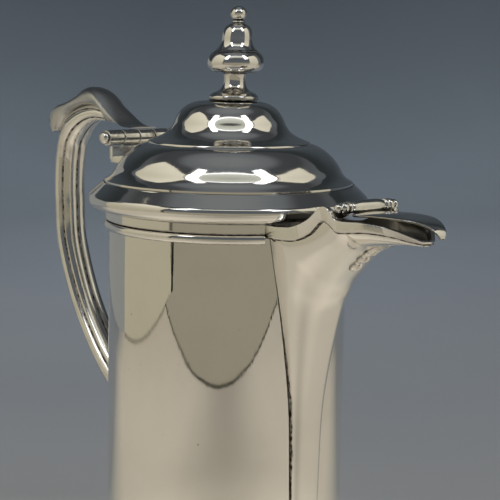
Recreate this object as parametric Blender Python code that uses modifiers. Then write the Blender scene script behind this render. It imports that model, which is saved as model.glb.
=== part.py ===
# Communion flagon in silver: a lidded cylindrical jug with an applied beak spout, a hinged spout flap,
# a domed hinged lid with a turned finial, and a reeded handle. Metres, +Z up, the spout points along +X,
# the handle along -X, and the foot stands on z = 0.

import math

import bmesh
import bpy
from mathutils import Vector

# Fits shared by the whole assembly
JOIN_GAP = 0.0003
TURN_GAP = 0.0004
PIN_PLAY = 0.0003

# Body, base and foot
BODY_RADIUS = 0.050
BODY_WALL = 0.0010
BODY_HEIGHT = 0.172
RIM_RISE = 0.0082
BASE_THICKNESS = 0.0012
FOOT_HEIGHT = 0.014
FOOT_SPREAD = 0.0085
FOOT_WALL = 0.0012
FOOT_WIRE_HEIGHT = 0.0042
FOOT_WIRE_SWELL = 0.0021
FOOT_WIRE_DEPTH = 0.0020

# Mouldings round the mouth of the body
RIM_BEAD_HEIGHT = 0.0038
RIM_BEAD_SWELL = 0.0017
RIM_BAND_THICKNESS = 0.0011

# Spout, measured out from the body wall and up from the lower rim line
SPOUT_REACH = 0.065
SPOUT_HALF_WIDTH = 0.0185
SPOUT_DROP = 0.140
SPOUT_RISE = 0.0169
SPOUT_WALL = 0.0010
SPOUT_BITE = 0.0012
LIP_THICKNESS = 0.0011
LIP_RISE = 0.0006
LIP_WIDTH = 0.0068
MOUTH_DEPTH = 0.066
MOUTH_MARGIN = 0.0028

# Drop ornament under the beak
ORNAMENT_RELIEF = 0.0019
ORNAMENT_EDGE = 0.0004
ORNAMENT_FIRST_ROW = 17
ORNAMENT_LAST_ROW = 34
ORNAMENT_SECTION_SIDES = 40
ORNAMENT_HALF_STEPS = 4
ORNAMENT_BEADS = 3
ORNAMENT_BEAD_SHARE = 0.45

# Spout flap and its hinge
FLAP_AXIS_OUT = 0.031
FLAP_AXIS_UP = 0.0172
FLAP_THICKNESS = 0.0013
FLAP_SIDE_OVERHANG = 0.0003
FLAP_OVERHANG = 0.0008
FLAP_CROWN = 0.0012
FLAP_BARREL_RADIUS = 0.0023
FLAP_BARREL_LENGTH = 0.0206
FLAP_PIN_RADIUS = 0.0009
FLAP_STEPS = 10
FLAP_HALF_STEPS = 4

# Lid
LID_OVERHANG = 0.0085
LID_FLANGE_HEIGHT = 0.0119
LID_DOME_OUT = 0.0020
LID_WALL = 0.0010
LID_TOP_HEIGHT = 0.0536
BEZEL_DEPTH = 0.0072
BEZEL_WALL = 0.0009
BEZEL_PLAY = 0.0005

# Finial, heights of its four turned pieces
FINIAL_FOOT_RADIUS = 0.0103
FINIAL_BASE_HEIGHT = 0.0115
FINIAL_BULB_RADIUS = 0.0119
FINIAL_BULB_HEIGHT = 0.0087
FINIAL_BELL_RADIUS = 0.0063
FINIAL_BELL_HEIGHT = 0.0121
FINIAL_BALL_RADIUS = 0.0034
STUD_RADIUS = 0.0013
WASHER_RADIUS = 0.0060
WASHER_THICKNESS = 0.0010
NUT_RADIUS = 0.0042
NUT_HEIGHT = 0.0032
NUT_SIDES = 6

# Lid hinge
HINGE_SETBACK = 0.0015
HINGE_HEIGHT = 0.035
HINGE_LENGTH = 0.042
KNUCKLE_COUNT = 5
KNUCKLE_RADIUS = 0.0034
HINGE_PIN_RADIUS = 0.0012
PIN_HEAD_RADIUS = 0.0029
PIN_HEAD_HEIGHT = 0.0020
LEAF_THICKNESS = 0.0022
LEAF_DROP = 0.0058
LEAF_HALF_WIDTH = 0.019
LEDGE_THICKNESS = 0.0028
STRAP_THICKNESS = 0.0022
STRAP_HALF_WIDTH = 0.0105
STRAP_FOOT_HEIGHT = 0.0044

# Handle, measured out from the body wall and up from the lower rim line
HANDLE_REACH = 0.069
HANDLE_DROP = 0.092
HANDLE_RISE = 0.0452
HANDLE_WIDTH = 0.0142
HANDLE_DEPTH = 0.0114
HANDLE_REEDS = 6
HANDLE_REED_DEPTH = 0.0008
HANDLE_SECTION_STEPS = 24
HANDLE_TIP_SHARE = 0.45
HANDLE_TIP_POINTS = 8
HANDLE_STEPS = 3
CAP_HALF_WIDTH = 0.0070
CAP_ROUNDING = 0.0016
CAP_STEPS = 2
PAD_RADIUS = 0.0104
PAD_THICKNESS = 0.0030

# Facets of the turned pieces
LARGE_STEPS = 40
SMALL_STEPS = 20

# Heights and places worked out from the driving sizes
RIM_Z = BODY_HEIGHT
WALL_TOP_Z = RIM_Z + RIM_RISE
LID_SEAT_Z = WALL_TOP_Z + JOIN_GAP
FLANGE_RADIUS = BODY_RADIUS + LID_OVERHANG
FLANGE_TOP_Z = LID_SEAT_Z + LID_FLANGE_HEIGHT
LID_TOP_Z = RIM_Z + LID_TOP_HEIGHT
HINGE_AXIS = Vector((-(FLANGE_RADIUS + HINGE_SETBACK), 0, RIM_Z + HINGE_HEIGHT))
FLAP_AXIS = Vector((BODY_RADIUS + FLAP_AXIS_OUT, 0, RIM_Z + FLAP_AXIS_UP))
BAND_OUTER = BODY_RADIUS + JOIN_GAP + max(RIM_BAND_THICKNESS, RIM_BEAD_SWELL)

# The spout's edge, as share of the reach, share of the half-width and height from the rim line. A height
# above the line is a share of the ear's rise, and one below it a share of the drop. The first five knots
# lie on the body, so their reach is worked out from the half-width.
SPOUT_EDGE = (
    (0.000, 0.140, -1.000),
    (0.000, 0.340, -0.843),
    (0.000, 0.460, -0.457),
    (0.000, 0.760, -0.157),
    (0.000, 1.000, 0.330),
    (0.050, 0.995, 0.355),
    (0.180, 0.970, 0.556),
    (0.292, 0.925, 0.817),
    (0.383, 0.875, 1.000),
    (0.434, 0.850, 0.982),
    (0.486, 0.830, 0.763),
    (0.530, 0.810, 0.728),
    (0.677, 0.700, 0.734),
    (0.815, 0.500, 0.663),
    (0.897, 0.290, 0.515),
    (0.946, 0.125, 0.367),
)
# The spout's keel beside each of those knots, as share of the reach and height from the rim line
SPOUT_KEEL = (
    (0.031, -1.000),
    (0.052, -0.843),
    (0.078, -0.457),
    (0.194, -0.186),
    (0.285, -0.1036),
    (0.320, -0.080),
    (0.378, -0.0429),
    (0.428, -0.0071),
    (0.474, 0.154),
    (0.511, 0.249),
    (0.554, 0.296),
    (0.606, 0.320),
    (0.731, 0.343),
    (0.846, 0.325),
    (0.912, 0.284),
    (0.951, 0.231),
)
SPOUT_KNOTS_ON_BODY = 5
SPOUT_STEPS = 3
SPOUT_BLUNTNESS = 0.8
SPOUT_SIDES = 10

# The lip strip's width below the spout's edge, as share of its widest, at the knots from the rim outward
LIP_SHARES = (0.809, 0.750, 0.838, 0.882, 0.838, 1.000, 0.735, 0.647, 0.515, 0.515, 0.485, 0.338)

# The lid from the finial's seat to the ring round its upper dome, and from that ring to the flange, as
# share of the body's radius and share of the height from the lower dome's foot to the top
LID_CROWN = (
    (0.180, 1.000),
    (0.280, 0.983),
    (0.350, 0.945),
    (0.406, 0.880),
    (0.448, 0.788),
    (0.476, 0.700),
    (0.512, 0.625),
    (0.568, 0.567),
    (0.632, 0.526),
    (0.668, 0.505),
)
LID_SHOULDER = (
    (0.684, 0.481),
    (0.750, 0.448),
    (0.820, 0.383),
    (0.880, 0.301),
    (0.926, 0.209),
    (0.956, 0.127),
    (0.988, 0.073),
)
# The flange's outer face, as share of its width beyond the dome and share of its height above the seat
FLANGE_LINE = (
    (0.100, 0.945),
    (0.370, 0.874),
    (0.630, 0.773),
    (0.710, 0.731),
    (0.840, 0.723),
    (0.952, 0.647),
    (1.000, 0.529),
    (0.935, 0.345),
    (0.742, 0.176),
    (0.468, 0.059),
    (0.242, 0.000),
)

# The handle's centre line from top to bottom, as share of the reach and height from the rim line. A height
# above the line is a share of the handle's rise, and one below it a share of its drop.
HANDLE_LINE = (
    (0.536, 0.958),
    (0.652, 0.973),
    (0.768, 0.936),
    (0.877, 0.841),
    (0.957, 0.697),
    (0.997, 0.531),
    (1.005, 0.000),
    (0.970, -0.217),
    (0.800, -0.500),
    (0.540, -0.750),
    (0.250, -0.935),
)
# The handle cap's top edge from the hinge to the spur's end, and the spur's underside, in the same shares
CAP_TOP = (
    (0.246, 0.869),
    (0.319, 0.918),
    (0.391, 1.007),
    (0.478, 1.106),
    (0.580, 1.217),
    (0.674, 1.268),
    (0.754, 1.257),
    (0.848, 1.168),
    (0.978, 1.069),
    (1.087, 1.029),
    (1.171, 0.951),
    (1.174, 0.841),
    (1.109, 0.772),
)
CAP_SPUR_UNDER = (
    (1.080, 0.800),
)

collection = None
cutters = None


def start_scene():
    """Empty the scene and make the two collections."""
    global collection, cutters
    for old in list(bpy.data.objects):
        bpy.data.objects.remove(old, do_unlink=True)
    collection = bpy.data.collections.new("communion_flagon")
    cutters = bpy.data.collections.new("cutters")
    bpy.context.scene.collection.children.link(collection)
    bpy.context.scene.collection.children.link(cutters)


def silver(name, colour, roughness):
    """A polished metal of the given colour."""
    material = bpy.data.materials.new(name)
    material.use_nodes = True
    shader = material.node_tree.nodes["Principled BSDF"]
    shader.inputs["Base Color"].default_value = (*colour, 1)
    shader.inputs["Metallic"].default_value = 1
    shader.inputs["Roughness"].default_value = roughness
    return material


def add_object(name, data, material, group=None):
    """Link new data as an object, in the flagon's collection unless another is named."""
    piece = bpy.data.objects.new(name, data)
    (group or collection).objects.link(piece)
    if material:
        data.materials.append(material)
    return piece


def as_cutter(piece):
    """Keep a helper out of the model."""
    piece.hide_render = True
    piece.display_type = "WIRE"
    return piece


def smooth(mesh):
    """Shade a mesh smooth, except over its sharp edges."""
    mesh.shade_smooth()
    mesh.set_sharp_from_angle(angle=math.radians(40))


def spline_through(knots, steps):
    """Points of a smooth curve that passes through every knot."""
    ends = [2 * knots[0] - knots[1], *knots, 2 * knots[-1] - knots[-2]]
    points = []
    for i in range(1, len(ends) - 2):
        before, here, there, after = ends[i - 1 : i + 3]
        for k in range(steps):
            t = k / steps
            points.append(
                0.5
                * (
                    2 * here
                    + (there - before) * t
                    + (2 * before - 5 * here + 4 * there - after) * t**2
                    + (3 * here - before - 3 * there + after) * t**3
                )
            )
    points.append(knots[-1].copy())
    return points


def bezier(start, pull_start, pull_end, end, steps):
    """Points of a cubic curve in the (radius, height) plane, both ends included."""
    points = []
    for k in range(steps + 1):
        t = k / steps
        weights = ((1 - t) ** 3, 3 * t * (1 - t) ** 2, 3 * t**2 * (1 - t), t**3)
        spots = (start, pull_start, pull_end, end)
        points.append(tuple(sum(w * p[i] for w, p in zip(weights, spots)) for i in (0, 1)))
    return points


def bulge(radius, low, high, swell, steps):
    """A half-oval moulding, from its top to its bottom."""
    middle = (low + high) / 2
    half = (high - low) / 2
    turns = [math.pi / 2 - math.pi * k / steps for k in range(steps + 1)]
    return [(radius + swell * math.cos(a), middle + half * math.sin(a)) for a in turns]


def turned(name, outline, material, closed, steps, group=None):
    """Spin an outline of (radius, height) round the Z axis."""
    mesh = bpy.data.meshes.new(name)
    edges = [(i, i + 1) for i in range(len(outline) - 1)]
    if closed:
        edges.append((len(outline) - 1, 0))
    mesh.from_pydata([(r, 0, z) for r, z in outline], edges, [])
    piece = add_object(name, mesh, material, group)
    screw = piece.modifiers.new("turn", "SCREW")
    screw.steps = steps
    screw.render_steps = steps
    screw.use_merge_vertices = True
    screw.merge_threshold = 0.00001
    screw.use_smooth_shade = True
    return piece


def solidify(piece, thickness, side, group_name=None):
    """Give an open surface a thickness, outward for side 1 and inward for side -1."""
    shell = piece.modifiers.new("wall", "SOLIDIFY")
    shell.thickness = thickness
    shell.offset = side
    shell.use_even_offset = True
    if group_name:
        shell.vertex_group = group_name
        shell.thickness_vertex_group = ORNAMENT_EDGE / thickness
        shell.use_even_offset = False
    return shell


def cut(piece, cutter, operation="DIFFERENCE"):
    """Cut one solid with another, or join it on."""
    boolean = piece.modifiers.new("cut", "BOOLEAN")
    boolean.operation = operation
    boolean.object = cutter
    boolean.solver = "EXACT"


def box(name, low, high, material, group=None):
    """A box between two corners."""
    mesh = bpy.data.meshes.new(name)
    builder = bmesh.new()
    bmesh.ops.create_cube(builder, size=1)
    low, high = Vector(low), Vector(high)
    for vertex in builder.verts:
        vertex.co = low + Vector(a * (b + 0.5) for a, b in zip(high - low, vertex.co))
    builder.to_mesh(mesh)
    builder.free()
    return add_object(name, mesh, material, group)


def surface(name, rows, material):
    """An open loft through rows of points, with the first row's run as its width."""
    mesh = bpy.data.meshes.new(name)
    width = len(rows[0])
    faces = []
    for i in range(len(rows) - 1):
        for j in range(width - 1):
            a = i * width + j
            faces.append((a, a + 1, a + width + 1, a + width))
    mesh.from_pydata([p for row in rows for p in row], [], faces)
    smooth(mesh)
    return add_object(name, mesh, material)


def outline_prism(name, outline, half_width, rounding, material, group=None):
    """A flat outline in the XZ plane, as thick as twice half_width along Y, with rounded edges."""
    curve = bpy.data.curves.new(name, "CURVE")
    curve.dimensions = "2D"
    curve.fill_mode = "BOTH"
    curve.extrude = half_width - rounding
    curve.bevel_depth = rounding
    curve.bevel_resolution = 1
    curve.offset = -rounding
    spline = curve.splines.new("POLY")
    spline.points.add(len(outline) - 1)
    for point, (x, z) in zip(spline.points, outline):
        point.co = (x, z, 0, 1)
    spline.use_cyclic_u = True
    guide = bpy.data.objects.new(name + "_outline", curve)
    collection.objects.link(guide)
    guide.rotation_euler = (math.pi / 2, 0, 0)
    return mesh_from_curve(name, guide, material, group)


def mesh_from_curve(name, guide, material, group=None):
    """Turn a curve into a welded mesh and remove the curve."""
    bpy.context.view_layer.update()
    evaluated = guide.evaluated_get(bpy.context.evaluated_depsgraph_get())
    mesh = bpy.data.meshes.new_from_object(evaluated)
    builder = bmesh.new()
    builder.from_mesh(mesh)
    bmesh.ops.remove_doubles(builder, verts=builder.verts, dist=0.000001)
    bmesh.ops.recalc_face_normals(builder, faces=builder.faces)
    builder.transform(guide.matrix_world)
    builder.to_mesh(mesh)
    builder.free()
    mesh.materials.clear()
    smooth(mesh)
    piece = add_object(name, mesh, material, group)
    bpy.data.objects.remove(guide, do_unlink=True)
    return piece


def lay_along_y(piece, centre):
    """Turn a piece made round Z so that it lies along Y at its joint's axis."""
    piece.rotation_euler = (math.pi / 2, 0, 0)
    piece.location = centre


def hang_on(pieces, pivot):
    """Parent pieces to the empty on their joint's axis, where they stand."""
    for piece in pieces:
        piece.parent = pivot
        piece.location = piece.location - pivot.location


def pivot_at(name, spot):
    """An empty on a joint's axis."""
    pivot = bpy.data.objects.new(name, None)
    pivot.location = spot
    pivot.empty_display_size = 0.01
    collection.objects.link(pivot)
    return pivot


def body_guard(extra=0):
    """A cylinder just larger than the body, which trims what is soldered to the wall."""
    radius = BODY_RADIUS + JOIN_GAP + extra
    high = WALL_TOP_Z + BODY_RADIUS
    outline = [(0, high), (radius, high), (radius, 0), (0, 0)]
    return as_cutter(turned("body_guard", outline, None, False, LARGE_STEPS, cutters))


def make_body(metal):
    """The raised cylinder with the mouth cut behind the spout, and the base let into it."""
    inside = BODY_RADIUS - BODY_WALL
    ring = [(inside, WALL_TOP_Z), (BODY_RADIUS, WALL_TOP_Z), (BODY_RADIUS, 0), (inside, 0)]
    wall = turned("body_wall", ring, metal, True, LARGE_STEPS)
    cut(wall, mouth_cutter())
    plate_radius = inside - JOIN_GAP
    plate = [(0, BASE_THICKNESS), (plate_radius, BASE_THICKNESS), (plate_radius, 0), (0, 0)]
    turned("base_disc", plate, metal, False, LARGE_STEPS)


def mouth_cutter():
    """A prism along X that opens the wall into the spout, a margin inside the spout's own edge."""
    right = []
    for spot in spline_through(edge_knots(), SPOUT_STEPS):
        if -MOUTH_DEPTH <= spot.z - RIM_Z and spot.z <= RIM_Z:
            right.append((spot.y - MOUTH_MARGIN, spot.z))
    top = WALL_TOP_Z + BODY_WALL
    right.append((SPOUT_HALF_WIDTH - MOUTH_MARGIN, top))
    outline = right + [(-y, z) for y, z in reversed(right)]
    prism = outline_prism("mouth_cutter", outline, BODY_RADIUS, 0, None, cutters)
    prism.rotation_euler = (0, 0, math.pi / 2)
    prism.location.x = BODY_RADIUS * 1.5
    return as_cutter(prism)


def make_foot(metal):
    """The spun spreading foot and the wire round its edge."""
    collar = BODY_RADIUS + JOIN_GAP + FOOT_WALL
    rim = BODY_RADIUS + FOOT_SPREAD
    shelf = FOOT_WIRE_HEIGHT + JOIN_GAP + FOOT_WALL
    sweep = bezier((collar, FOOT_HEIGHT - FOOT_WALL), (collar, shelf + FOOT_WALL),
                   (collar + FOOT_SPREAD / 4, shelf), (rim - FOOT_WALL, shelf), 6)
    outline = [(collar, FOOT_HEIGHT), *sweep, (rim, shelf)]
    skirt = turned("foot_skirt", outline, metal, False, LARGE_STEPS)
    solidify(skirt, FOOT_WALL, -1)
    inner = rim - FOOT_WIRE_DEPTH
    swell = bulge(rim, 0, FOOT_WIRE_HEIGHT, FOOT_WIRE_SWELL, 6)
    turned("foot_wire", [(inner, FOOT_WIRE_HEIGHT), *swell, (inner, 0)], metal, True, LARGE_STEPS)


def make_rim(metal):
    """The bead and the flat band round the mouth, both stopped by the spout."""
    inner = BODY_RADIUS + JOIN_GAP
    bead_top = RIM_Z + RIM_BEAD_HEIGHT
    bead = bulge(inner, RIM_Z, bead_top, RIM_BEAD_SWELL, 6)
    band_low = bead_top + JOIN_GAP
    outer = inner + RIM_BAND_THICKNESS
    band = [(inner, WALL_TOP_Z), (outer, WALL_TOP_Z), (outer, band_low), (inner, band_low)]
    half = SPOUT_HALF_WIDTH + LIP_THICKNESS + 2 * JOIN_GAP
    low_corner = (0, -half, RIM_Z - RIM_RISE)
    high_corner = (2 * BODY_RADIUS, half, RIM_Z + 2 * RIM_RISE)
    gate = as_cutter(box("spout_gate", low_corner, high_corner, None, cutters))
    for name, outline in (("rim_bead", bead), ("rim_band", band)):
        cut(turned(name, outline, metal, True, LARGE_STEPS), gate)


def from_rim(share, rise, drop):
    """A height from the rim line's share of the rise above it or of the drop below it."""
    return RIM_Z + share * (rise if share > 0 else drop)


def edge_knots():
    """The spout's edge on its +Y side, from its lower end to the tip of the beak."""
    knots = []
    for i, (reach, width, height) in enumerate(SPOUT_EDGE):
        half = width * SPOUT_HALF_WIDTH
        out = BODY_RADIUS + reach * SPOUT_REACH
        if i < SPOUT_KNOTS_ON_BODY:
            out = math.sqrt((BODY_RADIUS - SPOUT_BITE) ** 2 - half**2)
        knots.append(Vector((out, half, from_rim(height, SPOUT_RISE, SPOUT_DROP))))
    return knots


def keel_knots():
    """The line along the bottom of the spout, beside the knots of its edge."""
    knots = []
    for reach, height in SPOUT_KEEL:
        out = BODY_RADIUS + reach * SPOUT_REACH
        knots.append(Vector((out, 0, from_rim(height, SPOUT_RISE, SPOUT_DROP))))
    return knots


def spout_rows(sides):
    """U-shaped sections of the spout's outer face, from one edge round the keel to the other."""
    edges = spline_through(edge_knots(), SPOUT_STEPS)
    keels = spline_through(keel_knots(), SPOUT_STEPS)
    rows = []
    for edge, keel in zip(edges, keels):
        row = []
        for k in range(sides + 1):
            turn = math.pi * (k / sides - 0.5)
            back = 1 - math.cos(turn) ** SPOUT_BLUNTNESS
            spot = keel + (Vector((edge.x, 0, edge.z)) - keel) * back
            spot.y = edge.y * math.copysign(abs(math.sin(turn)) ** SPOUT_BLUNTNESS, turn)
            row.append(spot)
        rows.append(row)
    return rows


def make_spout(metal, guard):
    """The raised trough, soldered to the wall over its mouth."""
    shell = surface("spout_shell", spout_rows(SPOUT_SIDES), metal)
    solidify(shell, SPOUT_WALL, -1)
    cut(shell, guard)


def lip_nose():
    """The lip strip's inner face at the very tip of the beak."""
    tip = edge_knots()[-1]
    return Vector((tip.x + tip.y / 2 + JOIN_GAP, 0, tip.z))


def make_lip(metal, guard):
    """The strip round the spout's edge, raised into an ear on each side for the flap's hinge."""
    first = SPOUT_KNOTS_ON_BODY - 1
    knots = edge_knots()[first:]
    edge = spline_through(knots, SPOUT_STEPS)
    widths = spline_through([Vector((LIP_WIDTH * share, 0, 0)) for share in LIP_SHARES], SPOUT_STEPS)
    side = []
    for i, spot in enumerate(edge):
        ahead = edge[min(i + 1, len(edge) - 1)] - edge[max(i - 1, 0)]
        outward = Vector((-ahead.y, ahead.x, 0)).normalized()
        foot = spot + outward * JOIN_GAP
        side.append((foot, spot.z - widths[i].x, spot.z + LIP_RISE))
    nose = lip_nose()
    middle = [(nose, nose.z - widths[-1].x, nose.z + LIP_RISE)]
    mirrored = [(Vector((p.x, -p.y, p.z)), low, high) for p, low, high in reversed(side)]
    rows = [[(p.x, p.y, low), (p.x, p.y, high)] for p, low, high in side + middle + mirrored]
    strip = surface("spout_lip", rows, metal)
    solidify(strip, LIP_THICKNESS, 1)
    cut(strip, guard)


def ornament_section(along):
    """Half-width in section steps and relief of the ornament, from its lower tip to the shell's edge."""
    if along < ORNAMENT_BEAD_SHARE:
        bead = along / ORNAMENT_BEAD_SHARE
        swell = abs(math.sin(ORNAMENT_BEADS * math.pi * bead))
        return 0.4 + 0.5 * bead + 0.25 * swell, 0.45 + 0.55 * swell
    fan = (along - ORNAMENT_BEAD_SHARE) / (1 - ORNAMENT_BEAD_SHARE)
    return 1.0 + 1.6 * fan, 0.75 - 0.55 * fan


def make_ornament(metal):
    """The shell and drop under the beak: a fan above three beads that shrink to a point."""
    sections = spout_rows(ORNAMENT_SECTION_SIDES)[ORNAMENT_FIRST_ROW : ORNAMENT_LAST_ROW + 1]
    rows = []
    weights = []
    for i, section in enumerate(sections):
        half, height = ornament_section(i / (len(sections) - 1))
        row = []
        for k in range(-ORNAMENT_HALF_STEPS, ORNAMENT_HALF_STEPS + 1):
            across = k / ORNAMENT_HALF_STEPS
            place = ORNAMENT_SECTION_SIDES / 2 + across * half
            low = int(place)
            row.append(section[low].lerp(section[low + 1], place - low))
            weights.append(height * math.sqrt(1 - across**2))
        rows.append(row)
    lifted = []
    for i, row in enumerate(rows):
        after = rows[min(i + 1, len(rows) - 1)][ORNAMENT_HALF_STEPS]
        ahead = after - rows[max(i - 1, 0)][ORNAMENT_HALF_STEPS]
        raised = []
        for j, spot in enumerate(row):
            aside = row[min(j + 1, len(row) - 1)] - row[max(j - 1, 0)]
            raised.append(spot + aside.cross(ahead).normalized() * 2 * JOIN_GAP)
        lifted.append(raised)
    drop = surface("spout_drop", lifted, metal)
    relief = drop.vertex_groups.new(name="relief")
    for index, weight in enumerate(weights):
        relief.add([index], weight, "REPLACE")
    solidify(drop, ORNAMENT_RELIEF, 1, "relief")


def half_width_at(x):
    """Half the spout's width over its edges at a distance from the axis."""
    edge = spline_through(edge_knots(), SPOUT_STEPS)
    for near, far in zip(edge, edge[1:]):
        if near.x <= x < far.x:
            return near.y + (far.y - near.y) * (x - near.x) / (far.x - near.x)
    return edge[-1].y


def flap_rows():
    """The flap's upper face, level from the barrel and turned down in front of the beak."""
    behind = FLAP_AXIS.x + FLAP_BARREL_RADIUS + JOIN_GAP
    front = lip_nose().x + LIP_THICKNESS + FLAP_OVERHANG + FLAP_THICKNESS
    length = front - behind
    start = (behind, FLAP_AXIS.z - FLAP_THICKNESS)
    pull_start = (behind + 0.5 * length, FLAP_AXIS.z)
    pull_end = (front, FLAP_AXIS.z - FLAP_THICKNESS)
    line = bezier(start, pull_start, pull_end, (front, edge_knots()[-1].z), FLAP_STEPS)
    rows = []
    for x, z in line:
        lip = half_width_at(min(x, front - LIP_THICKNESS)) + LIP_THICKNESS + FLAP_SIDE_OVERHANG
        half = min(FLAP_BARREL_LENGTH / 2, lip)
        row = []
        for k in range(-FLAP_HALF_STEPS, FLAP_HALF_STEPS + 1):
            across = k / FLAP_HALF_STEPS
            row.append((x, across * half, z - FLAP_CROWN * across**2))
        rows.append(row)
    return rows


def make_flap(metal, pivot):
    """The hinged cover of the beak, its barrel, the two lugs on the lip's ears and the pin."""
    plate = surface("spout_flap", flap_rows(), metal)
    plate.data.flip_normals()
    solidify(plate, FLAP_THICKNESS, -1)
    half = FLAP_BARREL_LENGTH / 2
    bore = FLAP_PIN_RADIUS + PIN_PLAY
    barrel = tube("flap_barrel", FLAP_BARREL_RADIUS, bore, -half, half, metal, FLAP_AXIS)
    hang_on((plate, barrel), pivot)
    ear = half_width_at(FLAP_AXIS.x + FLAP_BARREL_RADIUS) - SPOUT_WALL - JOIN_GAP
    inner = half + TURN_GAP
    for name, side in (("flap_lug_left", 1), ("flap_lug_right", -1)):
        ends = sorted((side * inner, side * ear))
        tube(name, FLAP_BARREL_RADIUS, bore, *ends, metal, FLAP_AXIS)
    reach = ear - JOIN_GAP
    rod = [(0, reach), (FLAP_PIN_RADIUS, reach), (FLAP_PIN_RADIUS, -reach), (0, -reach)]
    lay_along_y(turned("flap_pin", rod, metal, False, SMALL_STEPS), FLAP_AXIS)


def tube(name, outer, inner, low, high, metal, axis):
    """A length of hinge tube along Y, with its origin on the axis."""
    ring = [(inner, high), (outer, high), (outer, low), (inner, low)]
    piece = turned(name, ring, metal, True, SMALL_STEPS)
    lay_along_y(piece, axis)
    return piece


def lid_outline():
    """The lid's outer face from the stud hole to the foot of the lower dome."""
    foot = BODY_RADIUS + LID_DOME_OUT
    foot_z = FLANGE_TOP_Z - LID_WALL + JOIN_GAP
    tall = LID_TOP_Z - foot_z
    hole = STUD_RADIUS + JOIN_GAP
    domes = [(BODY_RADIUS * out, foot_z + tall * up) for out, up in LID_CROWN + LID_SHOULDER]
    return [(hole, LID_TOP_Z), *domes, (foot, foot_z + LID_WALL), (foot, foot_z)]


def make_lid(metal):
    """The domed lid, its moulded edge and the bezel that keeps it in the body's mouth."""
    dome = turned("lid_dome", lid_outline(), metal, False, LARGE_STEPS)
    solidify(dome, LID_WALL, -1)
    inside = BODY_RADIUS - BODY_WALL
    bezel_outer = inside - BEZEL_PLAY
    flange_inner = bezel_outer + JOIN_GAP
    bead = BODY_RADIUS + LID_DOME_OUT + JOIN_GAP
    ledge_z = FLANGE_TOP_Z - LID_WALL
    wide = FLANGE_RADIUS - bead
    edge = [(bead + wide * out, LID_SEAT_Z + LID_FLANGE_HEIGHT * up) for out, up in FLANGE_LINE]
    sheet = [(flange_inner, ledge_z), (bead, ledge_z), *edge, (flange_inner, LID_SEAT_Z)]
    flange = turned("lid_flange", sheet, metal, False, LARGE_STEPS)
    solidify(flange, LID_WALL, -1)
    bezel_inner = bezel_outer - BEZEL_WALL
    low = WALL_TOP_Z - BEZEL_DEPTH
    high = ledge_z - JOIN_GAP
    ring = [(bezel_inner, high), (bezel_outer, high), (bezel_outer, low), (bezel_inner, low)]
    bezel = turned("lid_bezel", ring, metal, True, LARGE_STEPS)
    return [dome, flange, bezel]


def finial_stem(low, high):
    """The finial's base from top to bottom: a waisted stem on a stepped foot."""
    tall = high - low
    foot = FINIAL_FOOT_RADIUS
    neck = 0.42 * foot
    toe = low + 0.14 * tall
    stem = bezier((0.55 * foot, high), (neck, high - 0.25 * tall),
                  (neck, toe + 0.2 * tall), (0.86 * foot, toe + 0.12 * tall), 6)
    return [*stem, (foot, toe), (foot, low)]


def finial_belly(low, high):
    """The finial's bulb from top to bottom."""
    tall = high - low
    bulb = FINIAL_BULB_RADIUS
    widest = low + 0.48 * tall
    belly = bezier((0.76 * bulb, high), (0.98 * bulb, high - 0.1 * tall), (bulb, widest), (bulb, widest), 4)
    tuck = bezier((bulb, widest), (bulb, widest - 0.3 * tall), (0.7 * bulb, low + 0.1 * tall),
                  (0.52 * bulb, low), 4)
    return [*belly, *tuck[1:]]


def finial_skirt(low, high):
    """The finial's bell from top to bottom."""
    tall = high - low
    bell = FINIAL_BELL_RADIUS
    middle = high - 0.55 * tall
    dome = bezier((0.42 * bell, high), (0.8 * bell, high - 0.04 * tall), (bell, high - 0.2 * tall),
                  (bell, middle), 5)
    flare = bezier((bell, middle), (bell, low + 0.25 * tall), (1.2 * bell, low + 0.1 * tall),
                   (1.42 * bell, low), 4)
    return [*dome, *flare[1:]]


def make_finial(metal):
    """Four turned pieces on a stud, held from inside the lid by a washer and a nut."""
    bore = STUD_RADIUS + JOIN_GAP
    pieces = []
    low = LID_TOP_Z
    for name, height, outline in (
        ("finial_base", FINIAL_BASE_HEIGHT, finial_stem),
        ("finial_bulb", FINIAL_BULB_HEIGHT, finial_belly),
        ("finial_bell", FINIAL_BELL_HEIGHT, finial_skirt),
    ):
        foot = low + JOIN_GAP
        low += height
        ring = [(bore, low), *outline(foot, low), (bore, foot)]
        pieces.append(turned(name, ring, metal, True, SMALL_STEPS))
    low += JOIN_GAP
    ball = FINIAL_BALL_RADIUS
    collar = 0.55 * ball
    centre = low + collar + ball
    turns = [math.pi * k / 9 for k in range(8)]
    round_top = [(ball * math.sin(a), centre + 0.9 * ball * math.cos(a)) for a in turns]
    socket = centre - 0.2 * ball
    knob = [*round_top, (0.68 * ball, low + collar), (0.82 * ball, low + 0.5 * collar),
            (0.68 * ball, low), (bore, low), (bore, socket), (0, socket)]
    pieces.append(turned("finial_ball", knob, metal, False, SMALL_STEPS))
    low = LID_TOP_Z - LID_WALL
    for name, radius, height, steps in (
        ("finial_washer", WASHER_RADIUS, WASHER_THICKNESS, SMALL_STEPS),
        ("finial_nut", NUT_RADIUS, NUT_HEIGHT, NUT_SIDES),
    ):
        high = low - JOIN_GAP
        low = high - height
        ring = [(bore, high), (radius, high), (radius, low), (bore, low)]
        pieces.append(turned(name, ring, metal, True, steps))
    top = socket - JOIN_GAP
    bottom = low - STUD_RADIUS
    rod = [(0, top), (STUD_RADIUS, top), (STUD_RADIUS, bottom), (0, bottom)]
    pieces.append(turned("finial_stud", rod, metal, False, SMALL_STEPS))
    return pieces


def knuckle_span(index):
    """The two ends along Y of one of the hinge's knuckles, counted from the -Y end."""
    pitch = HINGE_LENGTH / KNUCKLE_COUNT
    low = -HINGE_LENGTH / 2 + index * pitch
    return low + TURN_GAP / 2, low + pitch - TURN_GAP / 2


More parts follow.
